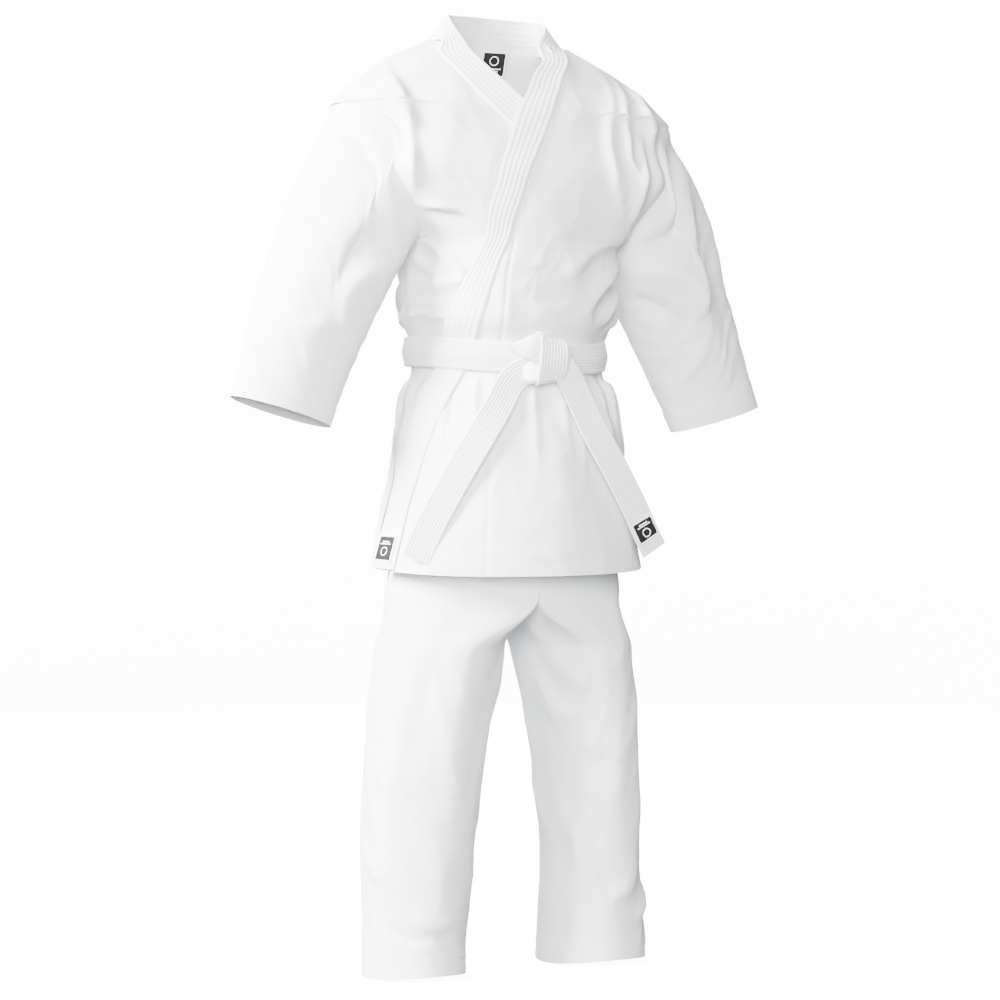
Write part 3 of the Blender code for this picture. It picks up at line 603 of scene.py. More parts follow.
def makeFrontLeft():
    inner = lambda z: lapelLine("seam", z) - 1.5
    z, angle, zz, level, relief = frontSheet(1, inner, 2 * body["layer"], leftFrontFolds, 41, 150)
    gore = np.interp((z - hemZ) / -hemZ, *zip(*sorted(lapel["gore"])))
    inGore = (z - hemZ) / -hemZ < lapel["gore"][0][0]
    relief = relief + seamGroove(angle, gore[:, None], 0.0022, 0.0016) * inGore[:, None]
    grid = displaced(bodyPoint(angle, zz, level), relief)
    grid[..., 2] -= hemDip(angle, zz)
    surface, normals = clothPiece(
        "frontLeft", grid, body["cloth"],
        ("front_panel_left", "gore_left", "front_skirt_left", "gore_skirt_left"),
        ("torso", "front_skirt"), frontBend)
    stitchLines("front", surface, normals, rows=hemRows, columns=(-3,), end=ventEnd)
    rows = np.nonzero(inGore)[0]
    for offset in (-0.9, 1.6):  # degrees to either side of the gore's seam
        where = [int(np.argmin(np.abs(angle[r] - gore[r] - offset))) for r in rows]
        path, away = surface[rows, where], normals[rows, where]
        wanted = bodyPoint(gore[rows] + offset, z[rows], 0)
        path = np.stack([wanted[:, 0], path[:, 1], path[:, 2]], 1)
        stitchLine("front", path, away)


def bandStations():  # edge and seam of the lapel and collar band up each front
    z = np.linspace(hemZ, -0.060, 190)
    sides = []
    for side, own, out in ((1, "", 2 * body["layer"] + 0.0022), (-1, "Right", 0.0020)):
        edge, seam = side * lapelLine("edge" + own, z), side * lapelLine("seam" + own, z)
        sides.append((side, bodyPoint(edge, z, out), bodyPoint(seam, z, out + 0.0002)))
    return sides


def makeCollarBand():
    # round the neck, as (angle, height, lean) of the sewn foot and of the free edge
    around = [(64, -0.006, 0.002), (90, -0.006, -0.002), (135, -0.008, 0.004), (180, -0.010, 0.006)]
    over = [(84, 0.034, -0.024), (133, 0.041, -0.018), (180, 0.045, -0.016)]
    foot = {1: [(27, -0.037, 0.006), (43, -0.018, 0.004)] + around,
            -1: [(44, -0.034, 0.005), (52, -0.018, 0.006)] + around}
    head = {1: [(13, -0.034, 0.004), (26, -0.006, -0.002), (50, 0.016, -0.012)] + over,
            -1: [(27, -0.028, 0.002), (40, -0.008, -0.004), (60, 0.016, -0.014)] + over}
    parts = {}
    for side, edge, seam in bandStations():
        feet, heads = [], []
        for table, line in ((foot[side], feet), (head[side], heads)):
            for angle, height, lean in table:
                lift = (0.003 if side > 0 else 0.0) * max(0.0, 1 - angle / 80)
                level = min(height, -0.001)  # the body ends at the neck, the band stands over it
                line.append(bodyPoint(side * angle, level, lean + lift) + np.array([0, 0, height - level]))
        parts[side] = [np.concatenate([run[:-8], smoothPath([run[-8], run[-1]] + turned, 80)])
                       for run, turned in ((seam, feet), (edge, heads))]
    soften = np.hanning(9)[1:-1]
    soften /= soften.sum()
    whole = [np.concatenate([parts[-1][i], parts[1][i][::-1][1:]]) for i in (0, 1)]
    footLine, headLine = (np.stack([smoothed(line[:, i], soften) for i in range(3)], 1) for line in whole)
    columns = 31
    share = np.linspace(0, 1, columns)
    grid = headLine[:, None] * (1 - share)[None, :, None] + footLine[:, None] * share[None, :, None]
    # the flat strip follows the round body between its edges
    angle = np.degrees(np.arctan2(grid[..., 0], -grid[..., 1] + neckShift(grid[..., 2])))
    chest = ease((-0.055 - grid[..., 2]) / 0.05)
    half = np.interp(grid[..., 2], bodyTable[0], bodyTable[1])
    front = np.interp(grid[..., 2], bodyTable[0], bodyTable[2])
    shift = neckShift(grid[..., 2])
    reach = np.hypot(grid[..., 0] / half, (grid[..., 1] - shift) / front)
    endReach = reach[:, :1] * (1 - share) + reach[:, -1:] * share
    push = np.where(chest > 0, endReach / np.maximum(reach, 0.2), 1)
    push = 1 + (push - 1) * chest
    grid = np.stack([grid[..., 0] * push, (grid[..., 1] - shift) * push + shift, grid[..., 2]], -1)
    rows = lapel["rows"]
    wave = np.abs(np.sin(math.pi * (share * rows))) ** 0.6
    profile = (wave - 1) * 0.0006
    profile[0], profile[-1] = -0.0004, -0.0012
    relief = np.broadcast_to(profile[None, :], grid.shape[:2]).copy()
    run = np.arange(len(grid))[:, None] / 12.0
    relief += 0.0010 * softNoise(run, np.broadcast_to(share[None, :] * 1.5, relief.shape), 77)
    grid = displaced(grid, -relief)
    grid[..., 2] -= hemDip(angle, grid[..., 2])
    grid = grid[:, ::-1]
    surface, normals = clothPiece(
        "collarBand", grid, lapel["thick"],
        ("lapel_left", "lapel_right", "lapel_skirt_left", "lapel_skirt_right", "collar_back"),
        ("torso", "front_skirt"), frontBend)
    places = [columns - 1 - place for place in rowPlaces(rows, columns)]
    stitchLines("front", surface, normals, columns=places)
    return grid


sleeve = dict(
    cuffOut=0.364, cuffY=-0.010, cuffHalf=0.0765, cuffDeep=0.045, tilt=math.radians(16),
    length=0.46, perDegree=0.0013,  # metres of cloth down the sleeve and for a degree round it
    facingFrom=0.905,  # share of the length where the turned cuff begins
    fill=0.012, bow=0.010, crumpleHeight=0.0028, rows=120, columns=120,
)


def sleeveSurface(side):
    middle, reach = (seamZ + armpitZ) / 2, (seamZ - armpitZ) / 2
    cuffHeight = cuffZ + sleeve["cuffHalf"] * math.sin(sleeve["tilt"]) + 0.001
    share = np.concatenate([[0, 0], np.linspace(0, 1, sleeve["rows"]) ** 0.92])
    turn = np.linspace(0, 2 * math.pi, sleeve["columns"], endpoint=False)
    rise, swing = np.cos(turn), np.sin(turn)
    z = middle + reach * rise * 0.9995
    front = swing > 0
    angle = np.where(front, armholeAngle(z, True), 180 - armholeAngle(z, False))
    onFront, onBack = np.clip(swing * 3, 0, 1), np.clip(-swing * 3, 0, 1)
    layers = body["layer"] * (1.6 if side > 0 else 0.6) * onFront + body["layer"] * 0.8 * onBack
    start = bodyPoint(angle, z, layers - 0.0006)
    along = np.array([math.cos(sleeve["tilt"]), 0, math.sin(sleeve["tilt"])])
    centre = np.array([sleeve["cuffOut"], sleeve["cuffY"], cuffHeight])
    end = centre + along * (sleeve["cuffHalf"] * rise[:, None])
    end[:, 1] -= sleeve["cuffDeep"] * swing
    t = share[:, None, None]
    grid = start[None] * (1 - t) + end[None] * t
    # the tube fills out past the armhole, and bends a little at the elbow
    axis = np.array([0.226, 0, middle]) * (1 - t) + centre * t
    away = unit(grid - axis)
    fill = sleeve["fill"] * np.sin(math.pi * np.clip(share * 1.15, 0, 1))[:, None, None]
    grid = grid + away * fill * np.array([0.35, 1.0, 0.2])
    # the first two rings tuck under the panels' edges
    for ring, tuck in ((0, 0.009), (1, 0.004)):
        grid[ring, :, 0] -= tuck
        grid[ring, :, 2] = middle + (grid[ring, :, 2] - middle) * (1 - tuck * 2.2)
        grid[ring, :, 1] *= 1 - tuck * 3
    grid[..., 0] += sleeve["bow"] * np.sin(math.pi * share)[:, None]
    grid[..., 1] += 0.006 * np.sin(math.pi * share)[:, None]
    if side < 0:
        grid = grid * np.array([-1, 1, 1])
    grid = grid[::-1]
    if side > 0:
        grid = grid[:, ::-1]
    return grid, share[::-1], turn if side < 0 else turn[::-1]


# degrees from the sleeve's top towards the front
sleeveFolds = {
    1: [  # the wearer's left, deep folds that fan out from the armpit
        (-13, 14, 20, (10, 2), (30, 10), (70, 16), (110, 18)),
        (12, 12, 16, (40, 2), (60, 9), (95, 14)),
        (11, 16, 22, (20, 12), (50, 26), (75, 42), (100, 56)),
        (-12, 12, 18, (130, 10), (96, 18), (70, 30), (60, 46)),
        (12, 12, 18, (150, 16), (120, 26), (96, 40), (88, 56)),
        (-10, 10, 16, (170, 24), (140, 36), (122, 50), (118, 66)),
        (9, 10, 20, (0, 10), (14, 26), (20, 42), (24, 56)),
        (-4, 20, 26, (36, 34), (46, 52), (52, 70), (54, 86)),
        (10, 16, 24, (-30, 10), (-40, 30), (-60, 50)),
        (11, 14, 22, (-80, 12), (-100, 30), (-120, 46)),
        (-8, 16, 24, (-130, 20), (-120, 44), (-110, 70)),
        (4, 12, 18, (90, 60), (110, 70), (140, 78)),
        (7, 18, 26, (-20, 55), (-30, 72), (-36, 90)),
    ],
    -1: [  # the wearer's right, smoother
        (-8, 12, 18, (0, 3), (26, 10), (60, 15), (100, 17)),
        (7, 12, 18, (20, 5), (50, 12), (84, 17)),
        (-9, 14, 20, (120, 16), (96, 28), (84, 40), (92, 50)),
        (10, 12, 18, (140, 24), (112, 36), (100, 50), (112, 64)),
        (6, 22, 30, (60, 20), (50, 38), (46, 60), (50, 84)),
        (5, 22, 30, (20, 20), (10, 42), (6, 66), (10, 90)),
        (5, 14, 20, (100, 60), (80, 68), (50, 74)),
        (9, 16, 22, (-40, 12), (-60, 30), (-80, 50)),
        (9, 16, 22, (-100, 16), (-110, 40), (-110, 64)),
        (-7, 18, 24, (-150, 20), (-140, 46), (-130, 70)),
    ],
}


def makeSleeve(side):
    tag = "Left" if side > 0 else "Right"
    grid, share, turn = sleeveSurface(side)
    degrees = np.degrees(np.where(turn > math.pi, turn - 2 * math.pi, turn))
    wide, long = sleeve["perDegree"], sleeve["length"]
    shape = grid.shape[:2]
    down = np.broadcast_to(share[:, None], shape)
    u, v = np.broadcast_to((degrees * wide)[None, :], shape), down * long
    relief = ringFolds(u, v, foldsFrom(sleeveFolds[side], wide, 100, long), 360 * wide)
    relief += sleeve["crumpleHeight"] * ringCrumple(turn, v, 0.05, 1.4, (0.9, 0.7), 0.06, 60 + side)
    calm = ease(down / 0.05) * (1 - 0.8 * ease((down - 0.9) / 0.07))  # at the seam and the cuff
    relief = relief * calm
    grid = displaced(grid, relief, True)
    thick = np.where(down > sleeve["facingFrom"], body["cloth"] * 1.9, body["cloth"])
    low = tag.lower()
    surface, normals = clothPiece(
        "sleeve" + tag, grid, thick,
        ("sleeve_front_" + low, "sleeve_back_" + low, "cuff_facing_" + low), ("torso", low + "_sleeve"),
        sleeveBend(side), ring=True)
    stitchLines("sleeve" + tag, surface, normals, rows=(1, 10, -3, -5), ring=True)


trousers = dict(
    columns=132, hemBand=0.034, hemRows=5, perDegree=0.00145, foldStrength=1.3, crumpleHeight=0.007,
    hips=[(0.189, 0.160, 0.137, 0.130), (0.114, 0.116, 0.108, 0.100), (0.106, 0.092, 0.078, 0.069)],
    legs={  # share up the leg, centre, half width, depth
        1: [(0.0, 0.148, 0.0835, 0.083), (0.12, 0.147, 0.078, 0.081), (0.30, 0.145, 0.071, 0.080),
            (0.50, 0.140, 0.070, 0.084), (0.70, 0.128, 0.075, 0.094), (0.86, 0.112, 0.082, 0.104),
            (1.0, 0.0965, 0.0925, 0.112)],
        -1: [(0.0, 0.150, 0.0745, 0.080), (0.12, 0.148, 0.076, 0.081), (0.30, 0.144, 0.083, 0.084),
             (0.50, 0.140, 0.085, 0.088), (0.70, 0.128, 0.086, 0.096), (0.86, 0.112, 0.086, 0.104),
             (1.0, 0.0955, 0.0905, 0.112)],
    },
)


def legSurface(side):
    legTop = crotchZ + 0.012
    up = np.concatenate([np.linspace(legHemZ, legTop, 118), np.linspace(legTop, waistbandZ, 56)[1:]])
    isLeg = up <= legTop + 1e-6
    turn = np.linspace(0, 2 * math.pi, trousers["columns"], endpoint=False)
    table = np.array(trousers["legs"][side])
    fine = roundedTable([(r[0] * (legTop - legHemZ), r[1], r[2], r[3]) for r in table], 0.020)
    at = np.clip(up - legHemZ, 0, legTop - legHemZ)
    centre, half, depth = (np.interp(at, fine[0], fine[i]) for i in (1, 2, 3))
    leg = np.stack([centre[:, None] + half[:, None] * np.sin(turn), -depth[:, None] * np.cos(turn),
                    np.broadcast_to(up[:, None], (len(up), len(turn)))], -1)
    hipHalf, hipDeep, hipBack = (np.interp(up, [legTop, legTop + 0.16, skirtTopZ, waistbandZ], values)
                                 for values in trousers["hips"])
    outer = np.clip(np.sin(turn), 0, 1)
    deep = np.where(np.cos(turn) > 0, hipDeep[:, None], hipBack[:, None])
    flatX = 0.0004 + np.where(np.sin(turn) > 0, 1.0, 0.0)[None, :] * hipHalf[:, None] * outer[None, :]
    hip = np.stack([flatX, -deep * np.cos(turn), leg[..., 2]], -1)
    toHip = ease((up - (legTop - 0.085)) / 0.085)[:, None, None]
    grid = leg * (1 - toHip) + hip * toHip
    # the inner side dips under the crotch
    inner = np.clip(-np.sin(turn), 0, 1) ** 0.8
    grid[..., 2] -= inner[None, :] * 0.012 * toHip[..., 0]
    if side < 0:
        grid = grid * np.array([-1, 1, 1])
        grid = grid[:, ::-1]
        turn = turn[::-1]
    keep = np.ones((len(up) - 1, len(turn)), bool)
    innerColumn = np.sin(turn + side * math.pi / len(turn)) < 0
    keep[np.ix_(~isLeg[1:], innerColumn)] = False
    return grid, up, turn, keep


# degrees from the leg's front outwards, heights over the hem
legFolds = {
    -1: [  # the wearer's right, a long smooth front with a break at the knee
        (6, 30, 40, (-8, 560), (-4, 420), (-10, 280), (-6, 120)),
        (-5, 24, 30, (34, 600), (30, 440), (36, 300)),
        (6, 26, 30, (60, 500), (52, 360), (58, 200), (52, 60)),
        (4, 12, 18, (84, 340), (70, 300), (50, 270)),
        (6, 22, 30, (-66, 500), (-50, 360), (-60, 200)),
        (4, 12, 18, (100, 200), (80, 160), (56, 140)),
        (4, 10, 16, (30, 100), (6, 75), (-22, 85)),
        (-3, 8, 12, (60, 75), (30, 58), (4, 62)),
        (8, 14, 20, (-90, 540), (-70, 460), (-60, 360)),
        (7, 22, 30, (-120, 500), (-110, 360), (-116, 200)),
        (8, 26, 34, (150, 560), (160, 360), (150, 140)),
    ],
    1: [
        (6, 28, 36, (10, 560), (16, 420), (8, 280), (14, 120)),
        (8, 20, 30, (48, 600), (52, 440), (46, 280), (54, 100)),
        (-9, 20, 28, (76, 600), (70, 420), (78, 240), (72, 80)),
        (6, 14, 20, (-60, 520), (-40, 440), (-18, 420)),
        (6, 12, 18, (-80, 440), (-56, 380), (-34, 370)),
        (-5, 12, 18, (-50, 330), (-24, 300), (4, 310)),
        (5, 16, 22, (-70, 260), (-46, 180), (-30, 90)),
        (4, 12, 18, (40, 160), (20, 110), (-10, 100)),
        (5, 8, 12, (70, 120), (54, 80), (30, 60)),
        (8, 24, 32, (120, 560), (126, 360), (118, 140)),
        (7, 22, 30, (-120, 500), (-112, 340), (-118, 160)),
        (7, 26, 34, (170, 500), (176, 300), (168, 100)),
    ],
}


def makeLeg(side):
    tag = "Left" if side > 0 else "Right"
    grid, up, turn, keep = legSurface(side)
    degrees = np.degrees(np.where(turn > math.pi, turn - 2 * math.pi, turn))
    wide = trousers["perDegree"]
    shape = grid.shape[:2]
    u = np.broadcast_to((degrees * wide)[None, :], shape)
    v = np.broadcast_to((up - legHemZ)[:, None], shape)
    relief = trousers["foldStrength"] * ringFolds(u, v, foldsFrom(legFolds[side], wide), 360 * wide)
    relief += trousers["crumpleHeight"] * ringCrumple(turn, v, 0.07, 1.3, (0.45, 0.35), 0.09, 90 + side)
    relief *= ease((v + 0.01) / 0.05) * (1 - 0.85 * ease((v - 0.52) / 0.06))
    # stitched hem band
    bandRows = [trousers["hemBand"] * (i + 1) / trousers["hemRows"] for i in range(trousers["hemRows"])]
    for height in bandRows:
        relief = relief - 0.0006 * np.exp(-((v - height) / 0.0016) ** 2)
    grid = displaced(grid, relief, True)
    grid[..., 2] += 0.004 * np.cos(2 * np.radians(degrees))[None, :] * ease((0.06 - v) / 0.06)
    thick = np.where(v < trousers["hemBand"] + 0.002, body["cloth"] * 1.7, body["cloth"])
    low = tag.lower()
    surface, normals = clothPiece(
        "trouser" + tag, grid, thick,
        ("leg_" + low, "leg_hem_" + low, "hip_front_" + low, "hip_back_" + low),
        ("torso", low + "_leg"), legBend, ring=True, keep=keep)
    rows = [int(np.argmin(np.abs(up - legHemZ - height))) for height in bandRows]
    columns = [int(np.argmin(np.abs(degrees - offset))) for offset in (-86, -94, 92)]  # inner and outer seam
    stitchLines("leg" + tag, surface, normals, rows, columns, end=112, ring=True)


def makeWaist():
    count = 120
    turn = np.linspace(0, 2 * math.pi, count, endpoint=False)
    z = np.linspace(waistbandZ - 0.040, waistbandZ, 13)
    gather = 1 + 0.010 * np.sin(turn * 38)[None, :] * np.sin(math.pi * np.linspace(0, 1, 13))[:, None]
    deep = np.where(np.cos(turn) > 0, 0.1015, 0.0705)
    grid = np.stack([0.1315 * np.sin(turn)[None, :] * gather, -deep[None, :] * np.cos(turn)[None, :] * gather,
                     np.broadcast_to(z[:, None], (13, count))], -1)
    clothPiece("trouserWaist", grid, 0.0030, ("waistband",), ("torso",),
               ring=True)
    # the gusset is a narrow diamond sewn under the crotch
    low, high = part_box("crotch_gusset")
    share = np.linspace(0, 1, 25)
    across = np.linspace(-1, 1, 7)
    y = low.y + (high.y - low.y) * share
    half = 0.004 + 0.013 * np.sin(math.pi * share)
    x = across[None, :] * half[:, None]
    z = low.z + 0.001 - 0.010 * np.sin(math.pi * share)[:, None] + 0.004 * across[None, :] ** 2
    grid = np.stack([x, np.broadcast_to(y[:, None], x.shape), z], -1)[::-1]
    clothPiece("crotchGusset", grid, body["cloth"],
               ("crotch_gusset",), ("torso",))


belt = dict(
    width=0.040, tailWidth=0.041, coreWidth=0.048, thick=0.0036, turnsThick=0.0062, rows=9,
    sideLift=0.010, frontDip=0.015,
    knotLeft=0.020,  # from the middle of the knot's solid towards the wearer's right
    turnPad=0.0014, foldPad=0.0030,  # padding between the rows of stitches
    hingeDrop=0.033,  # from the belt's lower edge to the line where the tails swing
    columns=46, around=260,
)


def quilted(count, rows, deep):  # offsets across a stitched band: padded between the rows
    share = np.linspace(0, 1, count)
    profile = deep * np.abs(np.sin(math.pi * share * rows)) ** 0.7
    return share, profile - deep * 0.5


def strapGrid(centre, across, widths, count, rows, deep, out):
    # a strap laid along centre, its width along across, padded towards out
    share, profile = quilted(count, rows, deep)
    offset = (share - 0.5)[None, :] * np.asarray(widths)[:, None]
    grid = centre[:, None] + across[:, None] * offset[..., None]
    return grid + out[:, None] * profile[None, :, None]


def beltDip(angle):  # the belt sits high on the hips and low in front
    return belt["frontDip"] * np.clip(np.cos(np.radians(angle)), 0, 1) ** 1.3 - belt["sideLift"]


def makeBeltTurns():
    count, columns = belt["around"], belt["columns"]
    angle = np.linspace(-180, 180, count, endpoint=False)
    out = 3 * body["layer"] + 0.0035
    centre = bodyPoint(angle, np.full(count, (beltLowZ + beltHighZ) / 2), out)
    dip = beltDip(angle) + 0.0012 * softNoise(angle / 30, angle * 0 + 3.3, 5)
    knotAngle = 9
    pinch = np.exp(-((angle - knotAngle) / 9) ** 2)
    share, profile = quilted(columns, belt["rows"], belt["turnPad"])
    height = (share - 0.5)[:, None] * (belt["width"] * (1 - 0.12 * pinch))[None, :]
    grid = np.broadcast_to(centre[None], (columns, count, 3)).copy()
    grid[..., 2] += height - dip[None, :]
    outward = unit(centre * np.array([1, 1, 0]))
    cup = 0.0016 * np.cos(2 * math.pi * (share - 0.5))[:, None]
    grid += outward[None] * (profile[:, None] + cup)[..., None]
    surface, normals = clothPiece(
        "beltTurns", grid, belt["turnsThick"],
        ("belt_turn_inner", "belt_turn_outer"), ("torso",), material=beltCloth, ring=True)
    stitchLines("torso", surface, normals, rows=rowPlaces(belt["rows"], columns))


def strapPath(stations, width, rows, deep=0.0009, length=60):
    # stations: (centre, across direction, share of the width)
    centre = smoothPath([s[0] for s in stations], length)
    across = unit(smoothPath([s[1] for s in stations], length))
    widths = width * smoothPath([(s[2], 0, 0) for s in stations], length)[:, 0]
    ahead = unit(np.gradient(centre, axis=0))
    across = unit(across - ahead * (across * ahead).sum(1, keepdims=True))
    out = unit(np.cross(across, ahead))
    return strapGrid(centre, across, widths, belt["columns"], rows, deep, out)


def knotPart(name, stations, width, thick, rows, replaced=(), deep=0.0009):
    grid = strapPath(stations, width, rows, deep)
    return clothPiece(name, grid, thick, replaced, ("torso",), material=beltCloth)


def makeKnot():
    knotX = (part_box("knot_body")[0].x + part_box("knot_body")[1].x) / 2 - belt["knotLeft"]
    face = beltFrontY
    top, bottom = beltHighZ + 0.003, beltLowZ - 0.018
    middle = (top + bottom) / 2
    at = lambda x, y, z: (knotX + x, face + y, z)
    # the wrap comes from behind the belt's top edge, over the knot and back under its lower edge
    wrap = [
        (at(0.001, 0.006, top - 0.008), (-1, 0, 0.30), 0.90),
        (at(0.001, -0.005, top + 0.001), (-1, 0, 0.33), 0.98),
        (at(0.001, -0.018, top - 0.003), (-1, 0, 0.30), 1.06),
        (at(0.000, -0.024, middle + 0.012), (-1, 0, 0.10), 1.10),
        (at(-0.002, -0.023, middle - 0.012), (-1, 0, -0.14), 1.10),
        (at(-0.004, -0.016, bottom + 0.002), (-1, 0, -0.25), 1.04),
        (at(-0.004, -0.004, bottom + 0.006), (-1, 0, -0.25), 0.92),
        (at(-0.004, 0.004, bottom + 0.016), (-1, 0, -0.20), 0.86),
    ]
    surface, normals = knotPart("knotWrap", wrap, belt["tailWidth"], belt["thick"], belt["rows"],
                                ("knot_wrap", "knot_body"))
    stitchLines("torso", surface, normals, columns=rowPlaces(belt["rows"], belt["columns"]), start=4, end=-4)
    # the fold: the end that goes across to the right, turned back on itself to a point
    fold = [
        (at(-0.060, -0.006, middle + 0.019), (-0.40, -0.05, -1), 0.06),
        (at(-0.050, -0.011, middle + 0.018), (-0.35, -0.05, -1), 0.40),
        (at(-0.036, -0.017, middle + 0.017), (-0.26, -0.05, -1), 0.80),
        (at(-0.020, -0.019, middle + 0.017), (-0.08, -0.05, -1), 1.10),
        (at(-0.004, -0.016, middle + 0.018), (-0.06, 0.0, -1), 1.10),
    ]
    knotPart("knotFold", fold, belt["width"], belt["thick"] * 1.5, 1, ("knot_fold",), deep=belt["foldPad"])
    # the under part of the knot, from which both ends leave
    core = [
        (at(0.032, -0.003, middle - 0.006), (0.35, 0, -1), 0.86),
        (at(0.018, -0.014, middle - 0.006), (0.30, 0, -1), 0.95),
        (at(-0.002, -0.018, middle - 0.006), (-0.10, 0, -1), 1.0),
        (at(-0.024, -0.012, middle - 0.010), (-0.45, 0, -1), 0.98),
        (at(-0.040, -0.002, middle - 0.012), (-0.60, 0, -1), 0.90),
    ]
    knotPart("knotCore", core, belt["coreWidth"], belt["thick"] * 1.6, belt["rows"])


def makeTail(side):
    tag = "Left" if side > 0 else "Right"
    face = beltFrontY
    if side > 0:  # hangs free towards the wearer's left, past the edge of the skirt
        points = [(0.006, face - 0.010, beltLowZ + 0.008), (0.026, face - 0.016, beltLowZ - 0.004),
                  (0.068, face - 0.017, -0.583), (0.105, face - 0.014, -0.640),
                  (0.1416, face - 0.008, -0.697), (0.164, face - 0.004, -0.736), (0.182, face, -0.7645)]
        across = [(-0.78, -0.10, -0.56), (-0.80, -0.04, -0.54)] + [(-0.84, 0.04, -0.52)] * 5
    else:  # lies against the skirt
        onSkirt = [(-17, beltLowZ - 0.012, 0.020), (-25, -0.556, 0.020), (-33, -0.600, 0.021),
                   (-41, -0.645, 0.019), (-48, -0.690, 0.017), (-54, -0.735, 0.015), (-58, -0.776, 0.014)]
        points = [(-0.008, face - 0.010, beltLowZ + 0.010)] + [tuple(bodyPoint(*place)) for place in onSkirt]
        across = [(-0.84, 0.10, 0.50), (-0.84, 0.14, 0.50), (-0.82, 0.22, 0.50)] + [(-0.78, 0.36, 0.50)] * 5
    stations = [(p, a, 1.0) for p, a in zip(points, across)]
    grid = strapPath(stations, belt["tailWidth"], belt["rows"], length=110)
    # the end stays in the knot down to the line where it swings
    hinge = int(np.argmax(grid[:, grid.shape[1] // 2, 2] < beltLowZ - belt["hingeDrop"])) + 1
    places, low = rowPlaces(belt["rows"], belt["columns"]), tag.lower()
    surface, normals = clothPiece("tailRoot" + tag, grid[:hinge + 1], belt["thick"],
                                  (), ("torso",), material=beltCloth)
    stitchLines("torso", surface, normals, columns=places, start=3)
    grid = grid[hinge:]
    surface, normals = clothPiece("beltTail" + tag, grid, belt["thick"],
                                  ("belt_tail_" + low,), (low + "_tail",), material=beltCloth)
    stitchLines("tail" + tag, surface, normals, columns=places, start=1, end=-4)
    stitchLines("tail" + tag, surface, normals, rows=(-3, -6))
    return grid, normals


# labels carry a plain geometric emblem
label = dict(size=0.036, border=0.0026, thick=0.0009)


def labelOn(name, grid, normals, rows, columns, lift, bodyName, blend=None, replaced=()):
    # a square label on a stretch of a strap's or panel's grid
    patch = grid[rows[0]:rows[1], columns[0]:columns[1]]
    out = normals[rows[0]:rows[1], columns[0]:columns[1]]
    corners = [patch[0, 0], patch[0, -1], patch[-1, -1], patch[-1, 0]]
    away = unit(out.mean((0, 1)))
    u = np.linspace(0, 1, 19)
    a = corners[0][None, None] * (1 - u)[None, :, None] + corners[1][None, None] * u[None, :, None]
    b = corners[3][None, None] * (1 - u)[None, :, None] + corners[2][None, None] * u[None, :, None]
    flat = a * (1 - u)[:, None, None] + b * u[:, None, None]
    flat = flat + away * lift
    labelPieces(name, flat, away, bodyName, blend, replaced)


def labelPieces(name, flat, away, bodyName, blend, replaced):
    if np.cross(flat[0, -1] - flat[0, 0], flat[-1, 0] - flat[0, 0]) @ away < 0:
        flat = flat[:, ::-1]
    centre = flat.mean((0, 1))
    side, up = unit(flat[0, -1] - flat[0, 0]), unit(flat[-1, 0] - flat[0, 0])
    ground = shell(name, flat, label["thick"], labelWhite)
    inner = centre + (flat - centre) * (1 - 2 * label["border"] / label["size"]) + away * 0.0005
    black = shell(name + "Face", inner, label["thick"], labelBlack)
    # emblem: a ring over two short bars
    count = 48
    turn = np.linspace(0, 2 * math.pi, count, endpoint=False)
    size = np.linalg.norm(flat[0, -1] - flat[0, 0])
    lift = away * 0.0011
    circle = np.cos(turn)[:, None] * side + np.sin(turn)[:, None] * up
    ring = [centre + lift + up * size * 0.13 + size * radius * circle for radius in (0.150, 0.185)]
    emblem = shell(name + "Ring", np.array(ring), 0.0006, labelWhite, ring=True)
    pieces = [ground, black, emblem]
    for i, (low, wide) in enumerate(((-0.20, 0.30), (-0.29, 0.20))):
        x = np.linspace(-wide, wide, 9)
        y = np.linspace(low, low + 0.045, 3)
        bar = centre + lift + side * (x[None, :, None] * size) + up * (y[:, None, None] * size)
        pieces.append(shell(name + "Bar" + str(i), bar, 0.0006, labelWhite))
    for piece in pieces:
        if blend:
            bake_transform(piece)
        else:
            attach(piece, bodyName)
    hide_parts(*replaced)


def makeNeckLabel():
    # a flat square just inside the back of the neck, at the slope of the cloth behind it
    angle, z = np.linspace(150, 176, 19), np.linspace(-0.044, -0.006, 19)
    reach = bodyPoint(angle[None, :], z[:, None], 0.0).reshape(-1, 3)
    plane = np.linalg.lstsq(np.c_[np.ones(len(reach)), reach[:, 0], reach[:, 2]], reach[:, 1], rcond=None)[0]
    inside = (reach[:, 1] - plane[0] - plane[1] * reach[:, 0] - plane[2] * reach[:, 2]).min() - 0.0075
    middle = np.array([0.0235, 0, -0.022])
    middle[1] = plane[0] + inside + plane[1] * middle[0] + plane[2] * middle[2]
    side, up = unit(np.array([1, plane[1], 0])), unit(np.array([0, plane[2], 1]))
    across = np.linspace(-0.020, 0.020, 19)
    flat = middle + side * across[None, :, None] + up * across[:, None, None]
    labelPieces("neckLabel", flat, unit(np.cross(side, up)), "torso", None, ("neck_label",))


